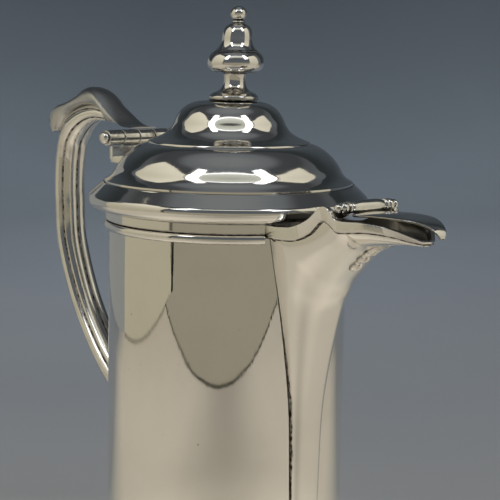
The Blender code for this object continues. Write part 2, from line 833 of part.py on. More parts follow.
def make_lid_hinge(metal):
    """Knuckles by turns on the lid and on the handle, the pin, and the leaf that stands on the lid."""
    moving = []
    bore = HINGE_PIN_RADIUS + PIN_PLAY
    for index in range(KNUCKLE_COUNT):
        on_lid = index % 2 == 0
        name = ("lid_knuckle_" if on_lid else "handle_knuckle_") + str(index // 2 + 1)
        piece = tube(name, KNUCKLE_RADIUS, bore, *knuckle_span(index), metal, HINGE_AXIS)
        if on_lid:
            moving.append(piece)
    half = HINGE_LENGTH / 2 + TURN_GAP
    head = bezier((0, half + PIN_HEAD_HEIGHT), (0.6 * PIN_HEAD_RADIUS, half + PIN_HEAD_HEIGHT),
                  (PIN_HEAD_RADIUS, half + 0.7 * PIN_HEAD_HEIGHT), (PIN_HEAD_RADIUS, half), 4)
    upper = [*head, (HINGE_PIN_RADIUS, half)]
    lower = [(r, -z) for r, z in reversed(upper)]
    lay_along_y(turned("lid_hinge_pin", upper + lower, metal, False, SMALL_STEPS), HINGE_AXIS)
    moving.append(make_leaf(metal))
    return moving


def make_leaf(metal):
    """A plate under the lid's knuckles with a ledge that runs in to the lower dome."""
    top = HINGE_AXIS.z - KNUCKLE_RADIUS - JOIN_GAP
    outer = HINGE_AXIS.x + JOIN_GAP
    inner = outer + LEAF_THICKNESS
    low = top - LEAF_DROP
    leaf = box("lid_hinge_leaf", (outer, -LEAF_HALF_WIDTH, low), (inner, LEAF_HALF_WIDTH, top), metal)
    bury = BODY_RADIUS / 2
    half = LEAF_HALF_WIDTH - JOIN_GAP
    low_corner = (outer + JOIN_GAP, -half, low - LEDGE_THICKNESS / 2)
    ledge = box("ledge_block", low_corner, (-bury, half, low + LEDGE_THICKNESS / 2), None, cutters)
    cut(leaf, as_cutter(ledge), "UNION")
    outline = [(r + JOIN_GAP, z + JOIN_GAP) for r, z in lid_outline()]
    block = [(0, outline[0][1]), *outline, (outline[-1][0], RIM_Z), (0, RIM_Z)]
    cut(leaf, as_cutter(turned("lid_guard", block, None, False, LARGE_STEPS, cutters)))
    return leaf


def make_strap(metal):
    """The upright behind the lid that ties the handle's hinge end to the rim."""
    top = HINGE_AXIS.z - KNUCKLE_RADIUS - JOIN_GAP
    inner = HINGE_AXIS.x - JOIN_GAP - PIN_PLAY
    outer = inner - STRAP_THICKNESS
    low = RIM_Z + JOIN_GAP
    strap = box("hinge_strap", (outer, -STRAP_HALF_WIDTH, low), (inner, STRAP_HALF_WIDTH, top), metal)
    half = STRAP_HALF_WIDTH - JOIN_GAP
    low_corner = (inner - JOIN_GAP, -half, low + JOIN_GAP)
    toe = box("strap_toe", low_corner, (0, half, low + STRAP_FOOT_HEIGHT), None, cutters)
    cut(strap, as_cutter(toe), "UNION")
    cut(strap, body_guard(BAND_OUTER - BODY_RADIUS))


def behind_body(knot):
    """A place on the handle's side from its shares of the reach and of the rise or drop."""
    reach, height = knot
    return Vector((-(BODY_RADIUS + reach * HANDLE_REACH), 0, from_rim(height, HANDLE_RISE, HANDLE_DROP)))


def handle_path():
    """The limb's centre line, ending square to the pad."""
    knots = [behind_body(knot) for knot in HANDLE_LINE]
    end = Vector((-(BODY_RADIUS + PAD_THICKNESS + JOIN_GAP), 0, RIM_Z - HANDLE_DROP))
    straight = Vector((HANDLE_DEPTH / 2, 0, 0))
    knots.append(end - straight)
    return spline_through(knots, HANDLE_STEPS) + [end]


def limb_share(index):
    """How much of its full section the limb has at a point of its path, as it thins into the cap."""
    return min(1, HANDLE_TIP_SHARE + (1 - HANDLE_TIP_SHARE) * index / HANDLE_TIP_POINTS)


def make_handle(metal, guard):
    """The reeded limb between the cap and the pad on the body."""
    section = bpy.data.curves.new("handle_section", "CURVE")
    section.dimensions = "2D"
    spline = section.splines.new("POLY")
    spline.points.add(HANDLE_SECTION_STEPS - 1)
    for k, point in enumerate(spline.points):
        turn = 2 * math.pi * k / HANDLE_SECTION_STEPS
        cut_in = HANDLE_REED_DEPTH * (1 - abs(math.cos(HANDLE_REEDS * turn / 2)))
        across = (HANDLE_WIDTH / 2 - cut_in) * math.cos(turn)
        point.co = (across, (HANDLE_DEPTH / 2 - cut_in) * math.sin(turn), 0, 1)
    spline.use_cyclic_u = True
    rib = as_cutter(bpy.data.objects.new("handle_section", section))
    cutters.objects.link(rib)
    limb = bpy.data.curves.new("handle_limb", "CURVE")
    limb.dimensions = "3D"
    limb.twist_mode = "MINIMUM"
    limb.bevel_mode = "OBJECT"
    limb.bevel_object = rib
    limb.use_fill_caps = True
    path = handle_path()
    line = limb.splines.new("POLY")
    line.points.add(len(path) - 1)
    for i, (point, spot) in enumerate(zip(line.points, path)):
        point.co = (*spot, 1)
        point.radius = limb_share(i)
    guide = bpy.data.objects.new("handle_limb_line", limb)
    collection.objects.link(guide)
    mesh_from_curve("handle_limb", guide, metal)
    chamfer = PAD_THICKNESS / 3
    disc = [(0, PAD_THICKNESS), (PAD_RADIUS - chamfer, PAD_THICKNESS), (PAD_RADIUS, PAD_THICKNESS - chamfer),
            (PAD_RADIUS, -PAD_THICKNESS), (0, -PAD_THICKNESS)]
    pad = turned("handle_pad", disc, metal, False, SMALL_STEPS)
    pad.rotation_euler = (0, -math.pi / 2, 0)
    pad.location = (-BODY_RADIUS, 0, RIM_Z - HANDLE_DROP)
    cut(pad, guard)


def make_cap(metal):
    """The plain cap from the hinge over the limb's end to the thumb spur."""
    rest_z = HINGE_AXIS.z + KNUCKLE_RADIUS + JOIN_GAP
    hinge_end = Vector((HINGE_AXIS.x, 0, rest_z + JOIN_GAP))
    over = spline_through([hinge_end] + [behind_body(knot) for knot in CAP_TOP], CAP_STEPS)
    spur = [behind_body(knot) for knot in CAP_SPUR_UNDER]
    path = handle_path()
    bed = []
    for i, spot in enumerate(path):
        ahead = path[i + 1] - path[max(i - 1, 0)]
        limb = limb_share(i) * HANDLE_DEPTH / 2 + 3 * JOIN_GAP
        place = spot + Vector((ahead.z, 0, -ahead.x)).normalized() * limb
        if place.z < spur[-1].z:
            break
        bed.append(place)
    bed.reverse()
    end = path[0].x + 2 * JOIN_GAP
    under = path[0].z - HANDLE_TIP_SHARE * HANDLE_DEPTH / 2 - 3 * JOIN_GAP
    close = [Vector((end, 0, bed[-1].z)), Vector((end, 0, under)), Vector((HINGE_AXIS.x, 0, rest_z))]
    outline = [(spot.x, spot.z) for spot in over + spur + bed + close]
    outline_prism("handle_cap", outline, CAP_HALF_WIDTH, CAP_ROUNDING, metal)


def main():
    """Build the flagon."""
    start_scene()
    metal = silver("polished_silver", (0.90, 0.88, 0.83), 0.08)
    guard = body_guard()
    make_body(metal)
    make_foot(metal)
    make_rim(metal)
    make_spout(metal, guard)
    make_lip(metal, guard)
    make_ornament(metal)
    make_flap(metal, pivot_at("flap_hinge", FLAP_AXIS))
    on_lid = make_lid(metal) + make_finial(metal) + make_lid_hinge(metal)
    hang_on(on_lid, pivot_at("lid_hinge", HINGE_AXIS))
    make_strap(metal)
    make_handle(metal, guard)
    make_cap(metal)


main()
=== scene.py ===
import math
from contextlib import contextmanager

import bmesh
import bpy
from mathutils import Matrix, Vector


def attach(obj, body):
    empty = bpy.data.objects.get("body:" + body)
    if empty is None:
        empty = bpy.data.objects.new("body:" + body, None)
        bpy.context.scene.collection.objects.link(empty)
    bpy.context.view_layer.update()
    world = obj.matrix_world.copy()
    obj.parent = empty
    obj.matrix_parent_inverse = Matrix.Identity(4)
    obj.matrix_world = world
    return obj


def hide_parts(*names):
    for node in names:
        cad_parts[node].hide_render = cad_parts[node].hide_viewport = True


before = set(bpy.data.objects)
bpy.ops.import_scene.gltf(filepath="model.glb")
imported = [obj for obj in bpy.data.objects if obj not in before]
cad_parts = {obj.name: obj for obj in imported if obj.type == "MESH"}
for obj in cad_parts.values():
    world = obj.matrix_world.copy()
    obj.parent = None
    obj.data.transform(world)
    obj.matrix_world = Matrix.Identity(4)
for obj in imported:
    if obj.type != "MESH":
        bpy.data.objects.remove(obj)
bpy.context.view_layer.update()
scene = bpy.context.scene
mm = 0.001
joinGap = 0.3 * mm  # air left at a soldered joint
turnedEdge = 0.3 * mm  # usual rounding of a turned edge
pinEdge = 0.2 * mm
weldGap = 2e-6  # points closer than this become one
crispAngle = 38  # degrees from which an edge stays hard in the shading
fullTurn = 2 * math.pi
print("flagon: frame loaded,", len(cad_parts), "nodes")

# sizes that more than one piece shares, in metres
vessel = dict(
    radius=50 * mm,
    wall=1.0 * mm,
    rimZ=172 * mm,  # lower line of the rim's bead
    wallTop=180.2 * mm,
    lidSeat=180.5 * mm,
    flangeTop=192.4 * mm,
    flangeRadius=58.5 * mm,
    lidTop=225.6 * mm,
    hinge=Vector((-60 * mm, 0, 207 * mm)),
    knuckleRadius=3.4 * mm,
    flapAxis=Vector((81 * mm, 0, 189.2 * mm)),
)


# lines and profiles
def splineThrough(knots, steps):
    ends = [2 * knots[0] - knots[1], *knots, 2 * knots[-1] - knots[-2]]
    points = []
    for i in range(1, len(ends) - 2):
        p0, p1, p2, p3 = ends[i - 1 : i + 3]
        for k in range(steps):
            t = k / steps
            a = 2 * p1 + (p2 - p0) * t
            b = (2 * p0 - 5 * p1 + 4 * p2 - p3) * t * t
            c = (3 * p1 - p0 - 3 * p2 + p3) * t**3
            points.append(0.5 * (a + b + c))
    points.append(knots[-1].copy())
    return points


def smoothLine(knots, steps=6):
    return [(p.x, p.y) for p in splineThrough([Vector(k) for k in knots], steps)]


def bow(start, pullStart, pullEnd, end, steps=24):
    points = []
    for k in range(steps + 1):
        t = k / steps
        w = ((1 - t) ** 3, 3 * t * (1 - t) ** 2, 3 * t * t * (1 - t), t**3)
        spots = (start, pullStart, pullEnd, end)
        points.append(tuple(sum(a * p[i] for a, p in zip(w, spots)) for i in (0, 1)))
    return points


def halfOval(radius, low, high, swell, steps=24):
    turns = [math.pi / 2 - math.pi * k / steps for k in range(steps + 1)]
    mid, half = (low + high) / 2, (high - low) / 2
    return [(radius + swell * math.cos(a), mid + half * math.sin(a)) for a in turns]


def softCorners(line, size, closed=False, steps=4):
    # turns each sharp corner of a profile into a small round one
    straight, mostOfSide, guard = math.radians(150), 0.45, 0.6
    count = len(line)
    result = []
    for i, here in enumerate(line):
        spot = Vector(here)
        before = Vector(line[i - 1]) - spot
        after = Vector(line[(i + 1) % count]) - spot
        atEnd = not closed and i in (0, count - 1)
        if atEnd or min(before.length, after.length) < 1e-7 or before.angle(after) > straight:
            result.append(here)
            continue
        reach = min(size, before.length * mostOfSide, after.length * mostOfSide)
        p0, p2 = spot + before.normalized() * reach, spot + after.normalized() * reach
        shares = [k / steps for k in range(steps + 1)]
        turn = [p0 * (1 - t) ** 2 + spot * 2 * t * (1 - t) + p2 * t * t for t in shares]
        # a second point beyond the turn keeps the long faces flat in the mirror
        if before.length > 4 * reach:
            turn.insert(0, p0 + before.normalized() * reach * guard)
        if after.length > 4 * reach:
            turn.append(p2 + after.normalized() * reach * guard)
        result += [(q.x, q.y) for q in turn]
    return result


def ringLine(inner, outer, low, high, soft):
    return softCorners([(inner, high), (outer, high), (outer, low), (inner, low)], soft, closed=True)


def rodLine(radius, low, high, soft):
    return softCorners([(0, high), (radius, high), (radius, low), (0, low)], soft)


# meshes and pieces
@contextmanager
def editing(mesh):
    tool = bmesh.new()
    tool.from_mesh(mesh)
    yield tool
    tool.to_mesh(mesh)
    tool.free()


def newMesh(name, points, edges=(), faces=()):
    mesh = bpy.data.meshes.new(name)
    mesh.from_pydata([tuple(p) for p in points], edges, faces)
    return mesh


def wireMesh(name, points):
    return newMesh(name, points, [(i, i + 1) for i in range(len(points) - 1)])


def gridMesh(name, rows, loop=False):
    width = len(rows[0])
    faces = []
    for i in range(len(rows) - 1):
        for j in range(width if loop else width - 1):
            a, b = i * width + j, i * width + (j + 1) % width
            faces.append((a, b, b + width, a + width))
    return newMesh(name, [p for row in rows for p in row], faces=faces)


def newPiece(name, mesh, finish):
    if finish and not mesh.materials:
        mesh.materials.append(finish)
    piece = bpy.data.objects.new(name, mesh)
    scene.collection.objects.link(piece)
    return piece


def crisp(mesh, sharp=crispAngle):
    mesh.shade_smooth()
    mesh.set_sharp_from_angle(angle=math.radians(sharp))


def settle(mesh, outward=None, sharp=crispAngle):
    # merges doubles, points the faces outward and keeps real edges crisp
    with editing(mesh) as tool:
        bmesh.ops.remove_doubles(tool, verts=tool.verts, dist=weldGap)
        bmesh.ops.dissolve_degenerate(tool, edges=tool.edges, dist=1e-7)
        bmesh.ops.recalc_face_normals(tool, faces=tool.faces)
        if outward is not None:
            facing = sum(outward(f.calc_center_median()).dot(f.normal) * f.calc_area() for f in tool.faces)
            if facing < 0:
                bmesh.ops.reverse_faces(tool, faces=tool.faces)
    crisp(mesh, sharp)


def fillHoles(mesh):
    with editing(mesh) as tool:
        bmesh.ops.remove_doubles(tool, verts=tool.verts, dist=weldGap)
        bmesh.ops.holes_fill(tool, edges=[e for e in tool.edges if e.is_boundary], sides=0)


def freeze(piece):
    # bakes the modifiers into a plain mesh
    bpy.context.view_layer.update()
    evaluated = piece.evaluated_get(bpy.context.evaluated_depsgraph_get())
    mesh = bpy.data.meshes.new_from_object(evaluated)
    piece.modifiers.clear()
    old = piece.data
    piece.data = mesh
    bpy.data.meshes.remove(old)
    mesh.name = piece.name


def wallOf(piece, thickness):
    shell = piece.modifiers.new("wall", "SOLIDIFY")
    shell.thickness = thickness
    shell.offset = -1
    shell.use_even_offset = True
    shell.use_quality_normals = True


def breakEdges(piece, width, segments, angle):
    bevel = piece.modifiers.new("edges", "BEVEL")
    bevel.width = width
    bevel.segments = segments
    bevel.limit_method = "ANGLE"
    bevel.angle_limit = math.radians(angle)
    freeze(piece)
    crisp(piece.data, angle)


def trim(piece, cutter):
    # cuts one piece by another, which is then thrown away
    cut = piece.modifiers.new("trim", "BOOLEAN")
    cut.operation = "DIFFERENCE"
    cut.object = cutter
    cut.solver = "EXACT"
    freeze(piece)
    mesh = cutter.data
    bpy.data.objects.remove(cutter, do_unlink=True)
    bpy.data.meshes.remove(mesh)


def seat(piece, body, slot, *nodes):
    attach(piece, body)
    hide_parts(*nodes)


# node trees: an input given a socket is linked, any other value is set
def give(tree, node, inputs):
    for key, value in inputs.items():
        if isinstance(value, bpy.types.NodeSocket):
            tree.links.new(value, node.inputs[key])
            node.location.x = max(node.location.x, value.node.location.x + 200)
        else:
            node.inputs[key].default_value = value


def put(tree, kind, inputs=(), **settings):
    node = tree.nodes.new(kind)
    node.location.y = -60 * len(tree.nodes)
    for key, value in settings.items():
        setattr(node, key, value)
    give(tree, node, dict(inputs))
    return node


def calc(tree, operation, *values, **settings):
    node = put(tree, "ShaderNodeMath", enumerate(values), operation=operation, **settings)
    return node.outputs["Value"]


def remap(tree, value, fromMin=0, fromMax=1, toMin=0, toMax=1, smooth=False):
    names = ("Value", "From Min", "From Max", "To Min", "To Max")
    node = put(tree, "ShaderNodeMapRange", zip(names, (value, fromMin, fromMax, toMin, toMax)),
               interpolation_type="SMOOTHSTEP" if smooth else "LINEAR")
    return node.outputs["Result"]


def noise(tree, place, scale, detail=2.0, roughness=0.5):
    values = {"Vector": place, "Scale": scale, "Detail": detail, "Roughness": roughness}
    return put(tree, "ShaderNodeTexNoise", values).outputs["Fac"]


def blend(tree, share, first, second, kind="RGBA"):
    values = {"Factor": share, "A": first, "B": second}
    return put(tree, "ShaderNodeMix", values, data_type=kind).outputs["Result"]


def vectorCalc(tree, operation, first, second=None, result="Value"):
    values = {0: first} if second is None else {0: first, 1: second}
    return put(tree, "ShaderNodeVectorMath", values, operation=operation).outputs[result]


def ownPlace(tree, kind="Object"):
    return put(tree, "ShaderNodeTexCoord").outputs[kind]


def split(tree, vector):
    return put(tree, "ShaderNodeSeparateXYZ", {"Vector": vector}).outputs


def join(tree, **parts):
    return put(tree, "ShaderNodeCombineXYZ", parts).outputs["Vector"]


def rampOf(tree, share, stops, mode="EASE"):
    ramp = put(tree, "ShaderNodeValToRGB", {"Fac": share})
    ramp.color_ramp.interpolation = mode
    items = ramp.color_ramp.elements
    while len(items) < len(stops):
        items.new(0.5)
    for item, (spot, colour) in zip(items, stops):
        item.position = spot
        item.color = (*colour, 1)
    return ramp.outputs["Color"]


def newGroup(name, kind, inputs, outputs):
    # an input is named with its default, or with its kind where it has none
    group = bpy.data.node_groups.new(name, kind)
    for label, value in inputs.items():
        plain = isinstance(value, str)
        socketKind = value if plain else "Color" if isinstance(value, tuple) else "Float"
        socket = group.interface.new_socket(label, in_out="INPUT", socket_type="NodeSocket" + socketKind)
        if not plain:
            socket.default_value = value
    for label, socketKind in outputs.items():
        group.interface.new_socket(label, in_out="OUTPUT", socket_type="NodeSocket" + socketKind)
    return group, put(group, "NodeGroupInput").outputs


def newFinish(name):
    finish = bpy.data.materials.new(name)
    finish.use_nodes = True
    return finish, finish.node_tree


def coat(tree, mesh, finish):
    real = put(tree, "GeometryNodeRealizeInstances", {"Geometry": mesh}).outputs["Geometry"]
    done = put(tree, "GeometryNodeSetMaterial", {"Geometry": real, "Material": finish}).outputs["Geometry"]
    put(tree, "NodeGroupOutput", {"Mesh": done})


def runNodes(piece, tree, values):
    maker = piece.modifiers.new(tree.name, "NODES")
    maker.node_group = tree
    for item in tree.interface.items_tree:
        if item.item_type == "SOCKET" and item.in_out == "INPUT" and item.name in values:
            maker[item.identifier] = values[item.name]
    freeze(piece)


# silver finishes
def tarnishGroup():
    # clouds of tarnish, rare pits, dark joints and painted shade in grooves, recesses and under edges
    tree, entry = newGroup("silverTarnish", "ShaderNodeTree", {
        "Clean": (0.93, 0.915, 0.875, 1), "Stain": (0.20, 0.15, 0.09, 1), "Joint And Shade Colour": (0.03, 0.022, 0.014, 1),
        "Joint And Shade": 0.0, "Cloud Scale": 26.0, "Cloud Amount": 0.10, "Pit Scale": 240.0, "Pit Amount": 0.5,
    }, {"Colour": "Color", "Dirt And Shade": "Float"})
    place = ownPlace(tree)
    cloud = remap(tree, noise(tree, place, entry["Cloud Scale"], 6, 0.62), 0.42, 0.74, smooth=True)
    cloud = calc(tree, "MULTIPLY", cloud, entry["Cloud Amount"])
    cells = put(tree, "ShaderNodeTexVoronoi", {"Vector": place, "Scale": entry["Pit Scale"]})
    pits = remap(tree, cells.outputs["Distance"], 0.16, 0.05, smooth=True)
    rare = remap(tree, noise(tree, place, 95), 0.60, 0.72, smooth=True)
    pits = calc(tree, "MULTIPLY", calc(tree, "MULTIPLY", pits, rare), entry["Pit Amount"])
    ragged = remap(tree, noise(tree, place, 520, 4), 0.30, 0.70, 0.45, 1.25)
    jointAndShade = calc(tree, "MULTIPLY", entry["Joint And Shade"], ragged, use_clamp=True)
    marks = calc(tree, "MAXIMUM", cloud, pits)
    worn = blend(tree, marks, entry["Clean"], entry["Stain"])
    put(tree, "NodeGroupOutput", {
        "Colour": blend(tree, jointAndShade, worn, entry["Joint And Shade Colour"]),
        "Dirt And Shade": calc(tree, "MAXIMUM", marks, jointAndShade, use_clamp=True),
    })
    return tree


def polishGroup():
    # faint hand-raised waves and fine polishing lines
    tree, entry = newGroup("handPolish", "ShaderNodeTree", {
        "Wave Scale": 34.0, "Wave Depth": 0.5, "Line Scale": 900.0, "Line Depth": 0.03, "Gloss": 0.05,
        "Gloss Range": 0.05,
    }, {"Height": "Float", "Roughness": "Float"})
    place = ownPlace(tree)
    wave = calc(tree, "MULTIPLY", noise(tree, place, entry["Wave Scale"], 1.5), entry["Wave Depth"])
    drawn = put(tree, "ShaderNodeMapping", {"Vector": place, "Scale": (1.0, 1.0, 0.06)}).outputs["Vector"]
    lines = calc(tree, "MULTIPLY", noise(tree, drawn, entry["Line Scale"], 3), entry["Line Depth"])
    smear = noise(tree, place, 70, 5)
    put(tree, "NodeGroupOutput", {
        "Height": calc(tree, "ADD", wave, lines),
        "Roughness": calc(tree, "MULTIPLY_ADD", smear, entry["Gloss Range"], entry["Gloss"]),
    })
    return tree


def seamGroup():
    # the ragged dark line where a piece meets the body's wall, thicker low down
    tree, entry = newGroup("solderSeam", "ShaderNodeTree", {
        "Radius": vessel["radius"], "Width": 0.8 * mm, "Thin Above": 160 * mm, "Thick Below": 118 * mm,
    }, {"Stain": "Float"})
    place = ownPlace(tree)
    parts = split(tree, place)
    out = vectorCalc(tree, "LENGTH", join(tree, X=parts["X"], Y=parts["Y"]))
    beyond = calc(tree, "SUBTRACT", out, entry["Radius"])
    ragged = remap(tree, noise(tree, place, 130, 3), 0.32, 0.68, 0.6, 1.35)
    low = remap(tree, parts["Z"], entry["Thin Above"], entry["Thick Below"], 0.4, 1.3)
    thick = calc(tree, "MULTIPLY", calc(tree, "MULTIPLY", ragged, low), entry["Width"])
    darkening = remap(tree, calc(tree, "DIVIDE", beyond, thick), 1.0, 0.5, smooth=True)
    put(tree, "NodeGroupOutput", {"Stain": darkening})
    return tree


tarnish = tarnishGroup()
polish = polishGroup()
seam = seamGroup()
bumpDepth = 0.25 * mm
dirtDullness = 0.45


def silver(name, values, seamWidth=0.0):
    finish, tree = newFinish(name)
    jointAndShade = put(tree, "ShaderNodeAttribute", attribute_name="jointAndShade").outputs["Fac"]
    if seamWidth:
        solder = put(tree, "ShaderNodeGroup", node_tree=seam)
        solder.inputs["Width"].default_value = seamWidth
        jointAndShade = calc(tree, "MAXIMUM", jointAndShade, solder.outputs["Stain"])
    darkening = put(tree, "ShaderNodeGroup", node_tree=tarnish)
    rub = put(tree, "ShaderNodeGroup", node_tree=polish)
    give(tree, darkening, {"Joint And Shade": jointAndShade})
    for node in (darkening, rub):
        give(tree, node, {key: value for key, value in values.items() if key in node.inputs})
    bump = put(tree, "ShaderNodeBump", {"Height": rub.outputs["Height"], "Distance": bumpDepth})
    dirtAndShade, gloss = darkening.outputs["Dirt And Shade"], rub.outputs["Roughness"]
    dull = calc(tree, "MULTIPLY_ADD", dirtAndShade, dirtDullness, gloss, use_clamp=True)
    give(tree, tree.nodes["Principled BSDF"], {
        "Metallic": 1, "Base Color": darkening.outputs["Colour"], "Roughness": dull,
        "Normal": bump.outputs["Normal"],
    })
    return finish


raisedSilver = silver("raisedSilver", {"Cloud Amount": 0.07, "Wave Depth": 0.22, "Gloss": 0.008,
                                       "Gloss Range": 0.025, "Line Depth": 0.05})
spoutSilver = silver("spoutSilver", {"Cloud Amount": 0.07, "Pit Amount": 0.7, "Wave Depth": 0.3,
                                     "Gloss": 0.10, "Gloss Range": 0.08}, seamWidth=1.25 * mm)
lipSilver = silver("lipSilver", {"Cloud Amount": 0.08, "Wave Depth": 0.2, "Gloss": 0.15,
                                 "Gloss Range": 0.06})
# painted shade: the inner faces' silver is darkened, on top of its dull skin
insideShadedSilver = silver("insideShadedSilver", {"Clean": (0.30, 0.285, 0.255, 1), "Cloud Amount": 0.2,
                                       "Cloud Scale": 60.0, "Wave Depth": 0.1, "Gloss": 0.36,
                                       "Gloss Range": 0.1})
# painted shade: the cap's silver is darker than the rest, besides being less glossy
capShadedSilver = silver("capShadedSilver", {"Clean": (0.62, 0.625, 0.62, 1), "Cloud Amount": 0.10, "Cloud Scale": 70.0,
                                 "Wave Depth": 0.1, "Gloss": 0.26, "Gloss Range": 0.08})
spunSilver = silver("spunSilver", {"Cloud Amount": 0.06, "Wave Depth": 0.08})
castSilver = silver("castSilver", {"Cloud Amount": 0.22, "Cloud Scale": 90.0, "Wave Scale": 90.0,
                                   "Wave Depth": 0.25, "Gloss": 0.08})
hingeSilver = silver("hingeSilver", {"Cloud Amount": 0.75, "Cloud Scale": 140.0,
                                     "Stain": (0.12, 0.10, 0.08, 1), "Wave Depth": 0.1, "Gloss": 0.09})
innerSilver = silver("innerSilver", {"Cloud Amount": 0.30, "Cloud Scale": 40.0, "Wave Depth": 0.3,
                                     "Gloss": 0.20, "Gloss Range": 0.15})
print("flagon: finishes ready")


def storeJointAndShade(mesh, values):
    # how dark each point is painted: solder stain at joints, painted shade in grooves, recesses and under
    # edges
    layer = mesh.attributes.new("jointAndShade", "FLOAT", "POINT")
    for item, value in zip(layer.data, values):
        item.value = max(0.0, min(1.0, value))


def setJointAndShade(mesh, rule):
    storeJointAndShade(mesh, [rule(vertex.co) for vertex in mesh.vertices])


def dullShadedSide(mesh, inward):
    # the inside of a vessel or cover keeps a dull skin, where no cloth reaches, and its colour is darkened
    # as painted shade
    mesh.materials.append(insideShadedSilver)
    for face in mesh.polygons:
        if face.normal.dot(inward(face.center)) > 0:
            face.material_index = len(mesh.materials) - 1


# turned pieces, spun from a profile by nodes
def spinTree():
    tree, entry = newGroup("spinProfile", "GeometryNodeTree", {
        "Profile": "Geometry", "Steps Around": "Int", "Start Turn": "Float", "Turn": "Float",
        "Finish": "Material",
    }, {"Mesh": "Geometry"})
    profile, steps = entry["Profile"], entry["Steps Around"]
    size = put(tree, "GeometryNodeAttributeDomainSize", {"Geometry": profile}, component="MESH")
    count = size.outputs["Point Count"]
    columns = calc(tree, "ADD", steps, 1)
    grid = put(tree, "GeometryNodeMeshGrid", {"Vertices X": columns, "Vertices Y": count})
    index = put(tree, "GeometryNodeInputIndex").outputs["Index"]
    column = calc(tree, "FLOOR", calc(tree, "DIVIDE", index, count))
    spot = put(tree, "GeometryNodeInputPosition").outputs["Position"]
    pick = put(tree, "GeometryNodeSampleIndex", data_type="FLOAT_VECTOR", domain="POINT")
    give(tree, pick, {"Geometry": profile, "Value": spot, "Index": calc(tree, "MODULO", index, count)})
    parts = split(tree, pick.outputs["Value"])
    around = calc(tree, "DIVIDE", column, steps)
    angle = calc(tree, "MULTIPLY_ADD", around, entry["Turn"], entry["Start Turn"])
    outX = calc(tree, "MULTIPLY", parts["X"], calc(tree, "COSINE", angle))
    outY = calc(tree, "MULTIPLY", parts["X"], calc(tree, "SINE", angle))
    place = join(tree, X=outX, Y=outY, Z=parts["Z"])
    move = put(tree, "GeometryNodeSetPosition", {"Geometry": grid.outputs["Mesh"], "Position": place})
    moved = move.outputs["Geometry"]
    weld = put(tree, "GeometryNodeMergeByDistance", {"Geometry": moved, "Distance": weldGap})
    coat(tree, weld.outputs["Geometry"], entry["Finish"])
    return tree


spinner = spinTree()


def spin(name, line, finish, closed=True, steps=160, turn=(0.0, fullTurn), wall=0.0, sharp=crispAngle,
         lay=None):
    points = list(line) + ([line[0]] if closed else [])
    piece = newPiece(name, wireMesh(name, [(r, 0, z) for r, z in points]), None)
    start, sweep = turn
    runNodes(piece, spinner, {"Steps Around": steps, "Start Turn": start, "Turn": sweep, "Finish": finish})
    if sweep < fullTurn:
        fillHoles(piece.data)
    middle = Vector((0, 0, sum(z for r, z in points) / len(points)))
    settle(piece.data, (lambda spot: spot - middle) if wall else None, sharp)
    if wall:
        wallOf(piece, wall)
        freeze(piece)
        piece.data.set_sharp_from_angle(angle=math.radians(sharp))
    if lay is not None:
        piece.data.transform(Matrix.Translation(lay) @ Matrix.Rotation(math.pi / 2, 4, "X"))
    return piece


# foot and base
foot = dict(height=14 * mm, spread=8.5 * mm, wall=1.2 * mm, edge=0.3 * mm, wireHeight=4.2 * mm,
            wireSwell=2.1 * mm, wireDepth=2 * mm, baseThickness=1.2 * mm)


def makeFoot():
    tall, wall, spread, edge = foot["height"], foot["wall"], foot["spread"], foot["edge"]
    wireTop = foot["wireHeight"]
    collar = vessel["radius"] + joinGap + wall
    rim = vessel["radius"] + spread
    shelf = wireTop + joinGap + wall
    sweep = bow((collar, tall - wall), (collar, shelf + wall), (collar + spread / 4, shelf),
                (rim - wall, shelf))
    line = [(collar - edge, tall), (collar, tall - edge), *sweep, (rim, shelf)]
    skirt = spin("footSkirt", line, raisedSilver, closed=False, wall=wall)
    seat(skirt, "flagon_body", "body", "foot_skirt")
    inner = rim - foot["wireDepth"]
    swell = halfOval(rim, 0, wireTop, foot["wireSwell"])
    wire = spin("footWire", [(inner, wireTop), *swell, (inner, 0)], castSilver)
    seat(wire, "flagon_body", "body", "foot_wire")
    disc = rodLine(vessel["radius"] - vessel["wall"] - joinGap, 0, foot["baseThickness"], edge)
    base = spin("baseDisc", disc, innerSilver, closed=False)
    seat(base, "flagon_body", "body", "base_disc")


makeFoot()
print("flagon: foot done")

# spout: shares of reach and half-width, heights from the rim line
spout = dict(
    reach=65 * mm,
    half=18.5 * mm,
    drop=140 * mm,
    rise=16.9 * mm,
    wall=1.0 * mm,
    bite=1.2 * mm,
    edge=((0, 0.14, -1.0), (0, 0.34, -0.843), (0, 0.46, -0.457), (0, 0.76, -0.157), (0, 0.88, -0.055),
          (0, 0.96, 0.12), (0, 1.0, 0.40), (0.05, 0.995, 0.425), (0.18, 0.97, 0.485), (0.292, 0.925, 0.69),
          (0.383, 0.875, 1.0), (0.434, 0.85, 0.982), (0.486, 0.83, 0.763), (0.53, 0.81, 0.728),
          (0.677, 0.70, 0.734), (0.815, 0.50, 0.663), (0.897, 0.29, 0.525), (0.946, 0.125, 0.42)),
    keel=((0.031, -1.0), (0.052, -0.843), (0.078, -0.457), (0.19, -0.186), (0.233, -0.143), (0.262, -0.117),
          (0.288, -0.10), (0.325, -0.08), (0.395, -0.046), (0.465, -0.017), (0.53, 0.04), (0.58, 0.125),
          (0.63, 0.185), (0.68, 0.23), (0.775, 0.285), (0.857, 0.31), (0.912, 0.32), (0.951, 0.32)),
    bluntness=0.7,
    knotsOnBody=7,
    steps=8,
    sides=56,
    mouthDepth=66 * mm,
    mouthMargin=2.8 * mm,
    coreX=40 * mm,  # a spot inside the trough, from which its faces look outward
    coreZ=200 * mm,
    coreFlatness=0.3,
)


def fromRim(share):
    return vessel["rimZ"] + share * (spout["rise"] if share > 0 else spout["drop"])


